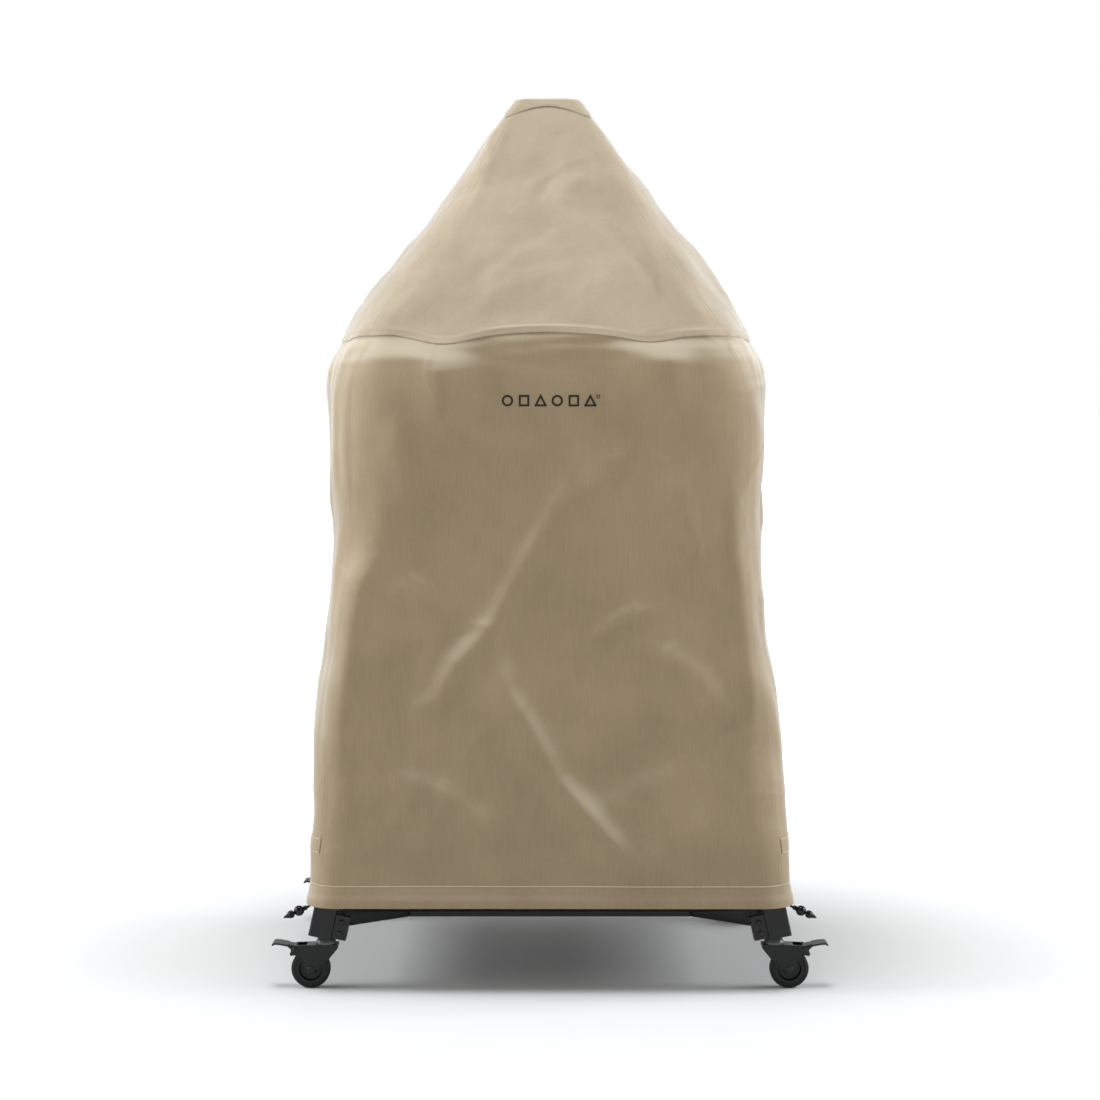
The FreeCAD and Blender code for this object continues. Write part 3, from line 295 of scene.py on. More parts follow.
sideTurns = {"front": 0, "right": 1, "back": 2, "left": 3}
clothEdge, hardEdge = math.radians(50), math.radians(35)    # sharper bends than these stay crisp
hemHeight = coverCut["skirt"][0][0]


def throughLevels(levels, column, height):
    heights = np.array([level[0] for level in levels])
    values = np.array([level[column] for level in levels])
    slopes = np.gradient(values, heights)
    spot = np.clip(np.searchsorted(heights, height) - 1, 0, len(heights) - 2)
    span = heights[spot + 1] - heights[spot]
    t = np.clip((height - heights[spot]) / span, 0, 1)
    return ((2 * t ** 3 - 3 * t ** 2 + 1) * values[spot] + (t ** 3 - 2 * t ** 2 + t) * span * slopes[spot]
            + (3 * t ** 2 - 2 * t ** 3) * values[spot + 1] + (t ** 3 - t ** 2) * span * slopes[spot + 1])


def smoothStep(low, high, value):
    t = np.clip((value - low) / (high - low), 0, 1)
    return t * t * (3 - 2 * t)


# Plan of one side at given heights. p runs from one corner seam, -1, to the other, 1.
def planPoints(levels, side, p, height):
    wide, deep, radius, pinchSide, pinchFront = (throughLevels(levels, k, height) for k in range(1, 6))
    turn = sideTurns[side]
    along, out = (wide, deep) if turn % 2 == 0 else (deep, wide)
    flat = along - radius
    reach = np.abs(p) * (flat + radius * math.pi / 4)
    angle = np.clip((reach - flat) / radius, 0, math.pi / 4)
    across = np.sign(p) * np.where(reach < flat, reach, flat + radius * np.sin(angle))
    away = out - radius * (1 - np.cos(angle))
    normalAcross, normalAway = np.sign(p) * np.sin(angle), np.cos(angle)
    spin = [(1, 0), (0, 1), (-1, 0), (0, -1)][turn]
    x = across * spin[0] + away * spin[1]
    y = across * spin[1] - away * spin[0]
    nx = normalAcross * spin[0] + normalAway * spin[1]
    ny = normalAcross * spin[1] - normalAway * spin[0]
    pinchedX = x * (1 - pinchSide * (np.abs(y) / deep) ** coverCut["pinchPower"])
    pinchedY = y * (1 - pinchFront * (np.abs(x) / wide) ** coverCut["pinchPower"])
    return pinchedX + np.interp(height, *zip(*coverCut["lean"])), pinchedY, nx, ny


# The lap's lower edge dips either side of the middle, where the hood pulls on it.
seamLine = {
    "height": 1.2482,
    "halfWide": 0.34, "halfDeep": 0.27,
    "levelFrom": 0.82,     # towards the corners the edge runs level again
    # waves: middle, width, rise
    "front": [(-0.195, 0.062, -0.0160), (0.195, 0.055, -0.0120), (0.0, 0.10, 0.0065), (-0.31, 0.03, 0.003)],
    "back": [(-0.17, 0.07, -0.010), (0.21, 0.06, -0.012), (0.02, 0.10, 0.005)],
    "left": [(-0.12, 0.06, -0.008), (0.15, 0.07, -0.010), (0.0, 0.05, 0.004)],
    "right": [(-0.14, 0.06, -0.010), (0.12, 0.06, -0.007), (0.0, 0.05, 0.003)],
}


def isWide(side):
    return sideTurns[side] % 2 == 0


def seamHeight(side, p):
    across = p * seamLine["halfWide" if isWide(side) else "halfDeep"]
    level = smoothStep(1.0, seamLine["levelFrom"], np.abs(p))
    height = np.full_like(p, seamLine["height"])
    for middle, width, rise in seamLine[side]:
        height = height + rise * np.exp(-((across - middle) / width) ** 2) * level
    return height


# ---- folds
# Each crease: the side it is on, its line as (across, up), height, and width on each side of the line.
skirtCreases = [
    ("front", [(0.06, 1.02), (0.014, 0.93), (-0.11, 0.70), (-0.175, 0.627), (-0.213, 0.56), (-0.30, 0.505)],
     0.0088, 0.030, 0.020),
    ("front", [(-0.115, 0.70), (-0.083, 0.574), (-0.035, 0.498), (0.012, 0.407), (0.078, 0.335),
               (0.172, 0.222)], 0.0115, 0.020, 0.032),
    ("front", [(-0.310, 0.862), (-0.358, 0.778), (-0.375, 0.684), (-0.388, 0.590), (-0.398, 0.40)],
     0.0150, 0.020, 0.045),
    ("front", [(0.345, 0.98), (0.352, 0.84), (0.372, 0.70), (0.395, 0.50)], 0.0100, 0.026, 0.016),
    ("front", [(-0.283, 1.115), (-0.285, 1.03), (-0.262, 0.96), (-0.30, 0.90)], 0.0070, 0.034, 0.026),
    ("front", [(0.225, 1.00), (0.262, 0.90), (0.28, 0.80)], 0.0060, 0.020, 0.026),
    ("front", [(0.0, 0.90), (0.10, 0.985), (0.16, 1.05)], 0.0050, 0.024, 0.018),
    ("front", [(-0.16, 0.71), (-0.24, 0.745), (-0.31, 0.78)], 0.0026, 0.020, 0.024),
    ("front", [(0.05, 0.36), (0.16, 0.44), (0.27, 0.47)], -0.0070, 0.050, 0.036),
    ("front", [(0.20, 0.66), (0.28, 0.60), (0.35, 0.50)], 0.0080, 0.026, 0.036),
    ("front", [(0.06, 0.66), (0.15, 0.72), (0.24, 0.73)], 0.0045, 0.018, 0.026),
    ("front", [(-0.10, 0.30), (-0.20, 0.38), (-0.32, 0.42)], 0.0060, 0.034, 0.026),
    ("front", [(-0.20, 1.07), (-0.10, 1.03), (0.02, 1.05)], 0.0040, 0.026, 0.020),
    ("back", [(0.26, 1.00), (0.10, 0.84), (-0.06, 0.72), (-0.22, 0.50)], 0.0110, 0.026, 0.014),
    ("back", [(-0.20, 1.04), (-0.14, 0.84), (-0.02, 0.62), (0.10, 0.38)], 0.0080, 0.016, 0.026),
    ("back", [(0.33, 0.92), (0.36, 0.74), (0.39, 0.50)], 0.0110, 0.020, 0.030),
    ("back", [(-0.33, 0.90), (-0.36, 0.70), (-0.39, 0.46)], 0.0110, 0.030, 0.020),
    ("left", [(-0.22, 1.06), (-0.14, 0.86), (-0.10, 0.62), (-0.15, 0.36)], 0.0100, 0.028, 0.016),
    ("left", [(0.20, 1.02), (0.06, 0.80), (0.04, 0.56), (0.10, 0.34)], 0.0110, 0.018, 0.028),
    ("right", [(0.21, 1.06), (0.14, 0.84), (0.10, 0.60), (0.16, 0.36)], 0.0100, 0.016, 0.028),
    ("right", [(-0.20, 1.00), (-0.07, 0.82), (-0.05, 0.58), (-0.12, 0.34)], 0.0110, 0.028, 0.018),
]
# Each swell: side, middle as (across, up), half sizes across, above and, if it differs, below, then height.
# Hollows are negative.
swells = [
    ("front", (-0.262, 1.200), (0.070, 0.032, 0.100), 0.0170),
    ("front", (-0.196, 1.176), (0.046, 0.046, 0.110), 0.0290),
    ("front", (0.175, 1.210), (0.060, 0.024, 0.080), 0.0120),
    ("front", (0.228, 1.194), (0.048, 0.034, 0.110), 0.0230),
    ("front", (-0.01, 1.195), (0.100, 0.035), -0.0050),
    ("front", (-0.24, 0.86), (0.080, 0.12), -0.0130),
    ("front", (-0.27, 0.60), (0.07, 0.14), -0.0110),
    ("front", (0.30, 0.56), (0.07, 0.16), -0.0090),
    ("front", (0.24, 1.09), (0.09, 0.09), -0.0070),
    ("front", (0.04, 0.58), (0.08, 0.10), -0.0070),
    ("front", (-0.02, 0.30), (0.20, 0.08), 0.0050),
    ("back", (-0.17, 1.190), (0.065, 0.034, 0.13), 0.0200),
    ("back", (0.21, 1.190), (0.065, 0.034, 0.13), 0.0200),
    ("left", (-0.12, 1.195), (0.060, 0.030, 0.10), 0.0130),
    ("left", (0.15, 1.193), (0.060, 0.030, 0.10), 0.0130),
    ("right", (-0.14, 1.193), (0.060, 0.030, 0.10), 0.0130),
    ("right", (0.12, 1.195), (0.060, 0.030, 0.10), 0.0130),
]


creaseShape = {
    "sideBlend": 0.006,               # the widths of the two sides meet within this distance of the line
    "fade": 0.22, "endsLeft": 0.15,   # share of the line that fades at each end, and the height left there
    "fall": 0.9,
}


def creaseDepth(across, up, line, high, widthLeft, widthRight):
    cut = creaseShape
    best = np.full(across.shape, 1e9)
    signedAt = np.zeros(across.shape)
    alongAt = np.zeros(across.shape)
    lengths = [math.dist(a, b) for a, b in zip(line, line[1:])]
    walked, total = 0.0, sum(lengths)
    for (a, b), length in zip(zip(line, line[1:]), lengths):
        dx, dz = (b[0] - a[0]) / length, (b[1] - a[1]) / length
        t = np.clip((across - a[0]) * dx + (up - a[1]) * dz, 0, length)
        offX, offZ = across - a[0] - t * dx, up - a[1] - t * dz
        distance = np.hypot(offX, offZ)
        closer = distance < best
        best = np.where(closer, distance, best)
        signedAt = np.where(closer, offX * dz - offZ * dx, signedAt)
        alongAt = np.where(closer, (walked + t) / total, alongAt)
        walked += length
    width = widthRight + (widthLeft - widthRight) * smoothStep(cut["sideBlend"], -cut["sideBlend"], signedAt)
    ends = smoothStep(0.0, cut["fade"], alongAt) * smoothStep(1.0, 1 - cut["fade"], alongAt)
    return high * np.exp(-(best / width) ** 2 * cut["fall"]) * (cut["endsLeft"] + (1 - cut["endsLeft"]) * ends)


def noiseField(points, scale, seed):
    shifted = points * np.array(scale) + seed
    flat = shifted.reshape(-1, 3)
    values = np.array([noise.noise(Vector(row)) for row in flat])
    return values.reshape(points.shape[:-1])


# Thin wandering ridges, where cloth that was once folded still stands up, but not everywhere.
ridges = {"width": 0.05, "patches": (3.0, 3.0, 3.0), "otherSeed": 5.0, "bareUpTo": -0.1, "fullFrom": 0.35}


def crumple(points, high, scale, seed):
    lines = np.exp(-(noiseField(points, scale, seed) / ridges["width"]) ** 2)
    patches = noiseField(points, ridges["patches"], seed + ridges["otherSeed"])
    return high * lines * smoothStep(ridges["bareUpTo"], ridges["fullFrom"], patches)


# A panel's folds fade out where its cloth turns the corner: where they begin, where they are full.
turningCorner = (0.35, 0.95)


def facing(side, nx, ny):
    toward = [-ny, nx, ny, -nx][sideTurns[side]]
    return smoothStep(*turningCorner, toward)


def acrossSide(side, x, y):
    return [x, y, -x, -y][sideTurns[side]]


def creasesDepth(creases, x, y, z, nx, ny, depth):
    for side, line, high, left, right in creases:
        weight = facing(side, nx, ny)
        depth += weight * creaseDepth(acrossSide(side, x, y), z, line, high, left, right)
    return depth


# Noise: height, scale, seed. Folds on the corners run upright, and the lap puckers the cloth below it.
skirtFolds = {
    "noise": [(0.0075, (3.1, 3.1, 2.0), 4.3), (0.0058, (7.5, 7.5, 5.2), 9.1),
              (0.0026, (17.0, 17.0, 14.0), 2.7)],
    "crumples": [(0.0012, (4.6, 4.6, 3.8), 12.4), (0.0011, (8.8, 8.8, 8.0), 21.9)],
    "sideways": [(0.0085, (13.0, 13.0, 2.3), 6.6), (0.0030, (34.0, 34.0, 5.0), 1.9)],
    "lapPucker": (0.0042, (9.0, 9.0, 62.0), 3.4), "lapReach": 0.045,
    "calmLap": (-0.006, 0.012), "calmHem": (0.165, 0.26), "calmShare": 0.18,
    # height, middle above the hem, width
    "roll": (0.0016, 0.012, 0.010),
    "pucker": (-0.0010, coverCut["hemTall"], 0.004),
}


def skirtDepth(x, y, z, nx, ny, below):
    cut = skirtFolds
    points = np.stack([x, y, z], axis=-1)
    depth = np.zeros(x.shape)
    for high, scale, seed in cut["noise"]:
        depth += high * noiseField(points, scale, seed)
    depth += sum(crumple(points, *row) for row in cut["crumples"])
    sideways = np.abs(nx) ** 1.5
    for high, scale, seed in cut["sideways"]:
        depth += high * sideways * noiseField(points, scale, seed)
    high, scale, seed = cut["lapPucker"]
    depth += high * noiseField(points, scale, seed) * np.exp(-below / cut["lapReach"])
    depth = creasesDepth(skirtCreases, x, y, z, nx, ny, depth)
    for side, middle, half, high in swells:
        weight = facing(side, nx, ny)
        tall = np.where(z > middle[1], half[1], half[-1])
        spread = ((acrossSide(side, x, y) - middle[0]) / half[0]) ** 2 + ((z - middle[1]) / tall) ** 2
        depth += weight * high * np.exp(-spread)
    calm = smoothStep(*cut["calmLap"], below) * smoothStep(*cut["calmHem"], z)
    depth = depth * (cut["calmShare"] + (1 - cut["calmShare"]) * calm)
    for high, above, width in (cut["roll"], cut["pucker"]):
        depth = depth + high * np.exp(-((z - hemHeight - above) / width) ** 2)
    return depth


def addPiece(name, points, faces, material):
    mesh = bpy.data.meshes.new(name)
    mesh.from_pydata(points, [], faces)
    mesh.materials.append(material)
    mesh.polygons.foreach_set("use_smooth", [True] * len(mesh.polygons))
    return addObject(name, mesh)


def gridMesh(name, points, material, outward=True):
    rows, columns = points.shape[:2]
    index = np.arange(rows * columns).reshape(rows, columns)
    faces = np.stack([index[:-1, :-1], index[:-1, 1:], index[1:, 1:], index[1:, :-1]], axis=-1).reshape(-1, 4)
    if not outward:
        faces = faces[:, ::-1]
    return addPiece(name, points.reshape(-1, 3).tolist(), faces.tolist(), material)


def onlySelect(piece):
    bpy.ops.object.select_all(action="DESELECT")
    piece.select_set(True)
    bpy.context.view_layer.objects.active = piece


def openForEdit(piece):
    onlySelect(piece)
    bpy.ops.object.mode_set(mode="EDIT")
    bpy.ops.mesh.select_all(action="SELECT")


def thicken(piece, thickness):
    onlySelect(piece)
    wall = piece.modifiers.new("clothThickness", "SOLIDIFY")
    wall.thickness = thickness
    wall.offset = -1.0
    wall.use_even_offset = False
    bpy.ops.object.modifier_apply(modifier=wall.name)
    bpy.ops.object.shade_smooth_by_angle(angle=clothEdge)


def skirtGrid(side, columns, rows):
    p = np.linspace(-1, 1, columns + 1)
    v = np.linspace(0, 1, rows + 1)
    top = seamHeight(side, p) + coverCut["lap"]
    z = hemHeight + v[:, None] * (top - hemHeight)[None, :]
    pp = np.broadcast_to(p[None, :], z.shape)
    x, y, nx, ny = planPoints(coverCut["skirt"], side, pp, z)
    depth = skirtDepth(x, y, z, nx, ny, top[None, :] - z)
    return np.stack([x + nx * depth, y + ny * depth, z], axis=-1)


def buildSkirt():
    made = {}
    for side in sideTurns:
        points = skirtGrid(side, 170 if isWide(side) else 120, 190)
        piece = gridMesh("skirt" + side.capitalize(), points, materials["skirt"])
        thicken(piece, coverCut["clothThick"])
        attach(piece, "cover")
        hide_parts(side + "_panel")
        made[side] = (piece, points)
    return made


hoodCreases = [
    ("front", [(0.02, 1.475), (-0.09, 1.405), (-0.19, 1.330)], -0.0040, 0.016, 0.022),
    ("front", [(-0.15, 1.30), (-0.05, 1.36), (0.06, 1.38)], 0.0045, 0.018, 0.024),
    ("front", [(0.23, 1.30), (0.20, 1.36), (0.13, 1.44)], -0.0070, 0.018, 0.014),
    ("front", [(-0.02, 1.62), (0.01, 1.57), (-0.03, 1.51)], -0.0026, 0.012, 0.014),
    ("front", [(0.07, 1.56), (0.03, 1.53), (0.02, 1.50)], 0.0026, 0.013, 0.016),
    ("back", [(0.02, 1.46), (0.11, 1.40), (0.20, 1.32)], -0.0060, 0.012, 0.018),
    ("back", [(-0.20, 1.30), (-0.10, 1.38), (-0.06, 1.45)], 0.0050, 0.018, 0.022),
    ("left", [(-0.05, 1.50), (-0.02, 1.40), (-0.10, 1.31)], -0.0060, 0.012, 0.020),
    ("left", [(0.14, 1.30), (0.09, 1.38), (0.07, 1.46)], 0.0055, 0.018, 0.022),
    ("right", [(0.05, 1.50), (0.03, 1.41), (0.11, 1.31)], -0.0060, 0.020, 0.012),
    ("right", [(-0.15, 1.30), (-0.08, 1.38), (-0.06, 1.46)], 0.0055, 0.022, 0.018),
]


# Noise: height, scale, seed.
hoodFolds = {
    "noise": [(0.0075, (5.5, 5.5, 5.0), 5.2), (0.0056, (14.0, 14.0, 11.0), 8.8),
              (0.0013, (34.0, 34.0, 30.0), 3.1)],
    "crumple": (0.0018, (8.0, 8.0, 7.0), 31.5),
    "calmLap": (0.0, 0.05), "calmTop": (1.70, 1.62),
    "cornerRidge": 0.0030, "cornerWide": 0.030,
    "sag": 0.002, "tall": 0.42,
    "outward": 0.75, "upward": 0.6,    # shares of a fold's height, because the hood slopes
}


def hoodDepth(x, y, z, nx, ny, p, over):
    cut = hoodFolds
    points = np.stack([x, y, z], axis=-1)
    up = smoothStep(*cut["calmLap"], over) * smoothStep(*cut["calmTop"], z)
    depth = np.zeros(x.shape)
    for high, scale, seed in cut["noise"]:
        depth += high * noiseField(points, scale, seed)
    depth += crumple(points, *cut["crumple"])
    depth = creasesDepth(hoodCreases, x, y, z, nx, ny, depth)
    ridge = cut["cornerRidge"] * np.exp(-((1 - np.abs(p)) * np.hypot(x, y) / cut["cornerWide"]) ** 2)
    sag = -cut["sag"] * (1 - p ** 2) * np.sin(np.clip(over / cut["tall"], 0, 1) * math.pi)
    return (depth + ridge + sag) * up


def hoodGrid(side, columns, rows):
    p = np.linspace(-1, 1, columns + 1)
    low = seamHeight(side, p)
    top = coverCut["hood"][-1][0]
    v = np.concatenate([np.linspace(0, 0.05, 10)[:-1], np.linspace(0.05, 1, rows - 8)])
    z = low + v[:, None] * (top - low)[None, :]
    over = z - low[None, :]
    pp = np.broadcast_to(p[None, :], z.shape)
    x, y, nx, ny = planPoints(coverCut["hood"], side, pp, z)
    lapped = smoothStep(coverCut["lap"] + 0.006, coverCut["lap"], over)
    sx, sy, _, _ = planPoints(coverCut["skirt"], side, pp, z)
    skirtHere = skirtDepth(sx, sy, z, nx, ny, coverCut["lap"] - over)
    hoodHere = hoodDepth(x, y, z, nx, ny, pp, over)
    proud = coverCut["proud"] + coverCut["clothThick"]
    outward = hoodFolds["outward"]
    x = lapped * (sx + nx * (skirtHere + proud)) + (1 - lapped) * (x + nx * outward * hoodHere)
    y = lapped * (sy + ny * (skirtHere + proud)) + (1 - lapped) * (y + ny * outward * hoodHere)
    z = z + (1 - lapped) * hoodFolds["upward"] * hoodHere
    return np.stack([x, y, z], axis=-1)


def buildHood():
    made = {}
    for side in sideTurns:
        points = hoodGrid(side, 110 if isWide(side) else 96, 100)
        cloth = materials["hood" if isWide(side) else "hoodSide"]
        piece = gridMesh("hood" + side.capitalize(), points, cloth)
        thicken(piece, coverCut["clothThick"])
        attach(piece, "cover")
        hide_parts("hood_" + side)
        made[side] = (piece, points)
    return made


# ---- the cap, sewn over the hood's open top
capCut = {
    # height, half width, half depth, corner radius, drawn in across the sides and the front
    "levels": [
        (1.676, 0.0985, 0.0800, 0.016, 0.07, 0.03),
        (1.690, 0.0885, 0.0712, 0.016, 0.06, 0.03),
        (1.706, 0.0765, 0.0620, 0.017, 0.05, 0.03),
        (1.716, 0.0690, 0.0552, 0.018, 0.04, 0.02),
        (1.7222, 0.0625, 0.0490, 0.020, 0.02, 0.01),
        (1.7248, 0.0560, 0.0420, 0.022, 0.00, 0.00),
    ],
    "edgeMiddle": 1.7075,   # the lower edge arches over the middle of each side
    "edgeCorner": 1.6835,
    "top": 1.7250,
    "columns": 36, "rows": 22,
    "topRings": (0.85, 0.65, 0.45, 0.25, 0.1),
    "noise": [(2, 0.0009, (30, 30, 30), 7.7), (0, 0.0008, (38, 38, 26), 2.2)],    # axis, height, scale, seed
}


def capGrid():
    p = np.linspace(-1, 1, capCut["columns"] + 1)[:-1]
    low = capCut["edgeMiddle"] - (capCut["edgeMiddle"] - capCut["edgeCorner"]) * np.abs(p) ** 2.0
    high = capCut["levels"][-1][0]
    v = np.linspace(0, 1, capCut["rows"])
    z = low + v[:, None] * (high - low)[None, :]
    pp = np.broadcast_to(p[None, :], z.shape)
    rings = []
    for side in sideTurns:
        x, y, _, _ = planPoints(capCut["levels"], side, pp, z)
        rings.append(np.stack([x, y, z], axis=-1))
    wall = np.concatenate(rings, axis=1)
    flat = []
    for share in capCut["topRings"]:
        ring = wall[-1].copy()
        ring[:, :2] *= share
        ring[:, 2] = capCut["top"] - 0.0002 * share
        flat.append(ring)
    grid = np.concatenate([wall, np.array(flat)], axis=0)
    for axis, high, scale, seed in capCut["noise"]:
        grid[..., axis] += high * noiseField(grid, scale, seed)
    return grid


def buildCap():
    grid = capGrid()
    rows, columns = grid.shape[:2]
    points = grid.reshape(-1, 3).tolist() + [[0.0, 0.0, capCut["top"]]]
    faces = []
    for row in range(rows - 1):
        for column in range(columns):
            beside = (column + 1) % columns
            faces.append((row * columns + column, row * columns + beside,
                          (row + 1) * columns + beside, (row + 1) * columns + column))
    pole = rows * columns
    last = (rows - 1) * columns
    faces += [(last + column, last + (column + 1) % columns, pole) for column in range(columns)]
    cap = addPiece("topCap", points, faces, materials["cap"])
    thicken(cap, coverCut["clothThick"])
    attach(cap, "cover")
    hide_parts("top_cap")
    return grid


# ---- stitching
sewing = {
    "hem": {"pitch": 0.0048, "dash": 0.0033, "thick": 0.0011, "thread": "thread"},
    "seam": {"pitch": 0.0045, "dash": 0.0032, "thick": 0.0006, "thread": "toneThread"},
    "hood": {"pitch": 0.0045, "dash": 0.0032, "thick": 0.0006, "thread": "hoodThread"},
    "fellRows": (0.0022, 0.009),                           # insets of the rows that hold each felled seam
    "lapRows": (0.0030, 0.0105), "capRow": 0.0032,         # above the cloth's edge
    "lift": 0.0002,
    # rows up the seams: the part sewn, from, to as shares of its height, thread
    "upright": [("skirt", 0.02, 0.985, "seam"), ("hood", 0.045, 0.95, "hood")],
}


def onGrid(grid, u, v):
    rows, columns = grid.shape[:2]
    r = np.clip(v * (rows - 1), 0, rows - 1.001)
    c = np.clip(u * (columns - 1), 0, columns - 1.001)
    r0, c0 = r.astype(int), c.astype(int)
    fr, fc = (r - r0)[:, None], (c - c0)[:, None]
    a, b = grid[r0, c0], grid[r0, c0 + 1]
    d, e = grid[r0 + 1, c0], grid[r0 + 1, c0 + 1]
    place = (1 - fr) * ((1 - fc) * a + fc * b) + fr * ((1 - fc) * d + fc * e)
    out = np.cross(b - a + e - d, d - a + e - b)
    return place, out / np.linalg.norm(out, axis=1)[:, None]


def walkedAlong(line):
    steps = np.linalg.norm(np.diff(line, axis=0), axis=1)
    return np.concatenate([[0], np.cumsum(steps)])


# Dashes of thread along a line on the cloth: each is a bar with four sides, pinched at both ends.
def sewRow(places, outs, row):
    walked = walkedAlong(places)
    points, faces = [], []
    for number in range(int(walked[-1] / row["pitch"])):
        middle = (number + 0.5) * row["pitch"]
        near = [middle - row["dash"] / 2, middle, middle + row["dash"] / 2]
        tail, centre, tip = (np.array([np.interp(at, walked, places[:, k]) for k in range(3)]) for at in near)
        out = np.array([np.interp(middle, walked, outs[:, k]) for k in range(3)])
        beside = np.cross(tip - tail, out)
        beside *= row["thick"] / 2 / max(np.linalg.norm(beside), 1e-9)
        rise = out * row["thick"] * 0.45
        start = len(points)
        points += [tail - 0.4 * rise, tip - 0.4 * rise]
        for share in (0.25, 0.75):
            at = tail + (tip - tail) * share
            points += [at + beside, at + rise, at - beside, at - rise]
        for k in range(4):
            n = (k + 1) % 4
            faces += [(start, start + 2 + n, start + 2 + k),
                      (start + 2 + k, start + 2 + n, start + 6 + n, start + 6 + k),
                      (start + 6 + k, start + 6 + n, start + 1)]
    return points, faces


def sewAll(name, rows, row):
    points, faces = [], []
    for places, outs in rows:
        more, moreFaces = sewRow(places, outs, row)
        faces += [tuple(i + len(points) for i in face) for face in moreFaces]
        points += more
    piece = addPiece(name, [tuple(map(float, point)) for point in points], faces, materials[row["thread"]])
    openForEdit(piece)
    bpy.ops.mesh.normals_make_consistent(inside=False)
    bpy.ops.object.mode_set(mode="OBJECT")
    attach(piece, "cover")
    return piece


def alongHeight(grid, height, lift=sewing["lift"]):
    u = np.linspace(0, 1, 400)
    columns = grid.shape[1]
    spot = np.clip((u * (columns - 1)).round().astype(int), 0, columns - 1)
    v = np.array([np.interp(height, grid[:, c, 2], np.linspace(0, 1, grid.shape[0])) for c in spot])
    place, out = onGrid(grid, u, v)
    return place + out * lift, out


def upColumn(grid, inset, fromEnd, low, high):
    v = np.linspace(low, high, 500)
    spans = np.linalg.norm(np.diff(grid, axis=1), axis=2).sum(axis=1)
    wide = np.interp(v, np.linspace(0, 1, len(spans)), spans)
    u = inset / wide
    place, out = onGrid(grid, 1 - u if fromEnd else u, v)
    return place + out * sewing["lift"], out


def aboveEdge(grid, rise):
    u = np.linspace(0, 1, 400)
    columns = grid.shape[1]
    v = []
    for c in (u * (columns - 1)).round().astype(int):
        v.append(np.interp(rise, walkedAlong(grid[:, c]), np.linspace(0, 1, grid.shape[0])))
    place, out = onGrid(grid, u, np.array(v))
    return place + out * sewing["lift"], out


def buildStitches(skirtGrids, hoodGrids, capPoints):
    hemLine = hemHeight + coverCut["hemTall"]
    sewAll("hemStitches", [alongHeight(skirtGrids[side], hemLine) for side in sideTurns],
           sewing["hem"])
    for name, low, high, row in sewing["upright"]:
        grids = skirtGrids if name == "skirt" else hoodGrids
        felled = [upColumn(grids[side], inset, fromEnd, low, high) for side in ("front", "back")
                  for fromEnd in (False, True) for inset in sewing["fellRows"]]
        sewAll(name + "SeamStitches", felled, sewing[row])
    lapped = [aboveEdge(hoodGrids[side], rise) for side in sideTurns for rise in sewing["lapRows"]]
    sewAll("lapStitches", lapped, sewing["hood"])
    closed = np.concatenate([capPoints, capPoints[:, :1]], axis=1)
    sewAll("capStitches", [aboveEdge(closed, sewing["capRow"])], sewing["hood"])


# ---- webbing bands on the side panels
bandCut = {"low": 0.2660, "high": 0.2960, "proud": 0.0014, "thick": 0.0012, "columns": 90, "rows": 12,
           "rolled": 0.0025, "edgeProud": 0.55, "stitchRows": (0.0020, 0.0280)}


def bandGrid(skirt):
    heights = np.linspace(bandCut["low"], bandCut["high"], bandCut["rows"])
    rows = []
    for height in heights:
        place, out = alongHeight(skirt, height, 0.0)
        keep = np.linspace(0, len(place) - 1, bandCut["columns"]).round().astype(int)
        edge = min(height - bandCut["low"], bandCut["high"] - height)
        share = bandCut["edgeProud"] + (1 - bandCut["edgeProud"]) * min(edge / bandCut["rolled"], 1)
        rows.append((place + out * bandCut["proud"] * share)[keep])
    return np.array(rows)


def buildBands(skirtGrids):
    rows = []
    for side in ("left", "right"):
        grid = bandGrid(skirtGrids[side])
        band = gridMesh("sideBand" + side.capitalize(), grid, materials["webbing"])
        thicken(band, bandCut["thick"])
        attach(band, "cover")
        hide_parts("side_bands")
        rows += [aboveEdge(grid, rise) for rise in bandCut["stitchRows"]]
    sewAll("bandStitches", rows, sewing["hem"])


# ---- the hem's turned-up facing and the cord in its tunnel
hemFold = {
    # inset from the outside of the cloth, height over the hem's edge
    "profile": [(0.0014, 0.0006), (0.0030, -0.0004), (0.0060, -0.0006), (0.0090, 0.0010), (0.0112, 0.0045),
                (0.0114, 0.0090), (0.0096, 0.0140), (0.0066, 0.0210), (0.0044, 0.0290), (0.0032, 0.0370),
                (0.0030, 0.0440)],
    "thick": 0.0012,
    "columns": 161,
    "weld": 0.00002,
}


def buildFacing(skirtGrids):
    parts = []
    for side in sideTurns:
        grid = skirtGrids[side]
        u = np.linspace(0, 1, hemFold["columns"])
        base, out = onGrid(grid, u, np.zeros_like(u))
        out[:, 2] = 0
        out /= np.linalg.norm(out, axis=1)[:, None]
        lines = []
        for inset, rise in hemFold["profile"]:
            height = np.full_like(u, max(rise, 0.0) / (grid[-1, :, 2].mean() - grid[0, 0, 2]))
            place, _ = onGrid(grid, u, height)
            lines.append(np.stack([place[:, 0] - out[:, 0] * inset, place[:, 1] - out[:, 1] * inset,
                                   np.full_like(u, hemHeight + rise)], axis=-1))
        parts.append(np.array(lines))
    ring = np.concatenate([part[:, :-1] for part in parts], axis=1)
    ring = np.concatenate([ring, ring[:, :1]], axis=1)
    turnedUp = gridMesh("hemFacing", ring, materials["skirt"], outward=False)
    openForEdit(turnedUp)
    bpy.ops.mesh.remove_doubles(threshold=hemFold["weld"])
    bpy.ops.object.mode_set(mode="OBJECT")
    thicken(turnedUp, hemFold["thick"])
    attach(turnedUp, "cover")
    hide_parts("hem_band")


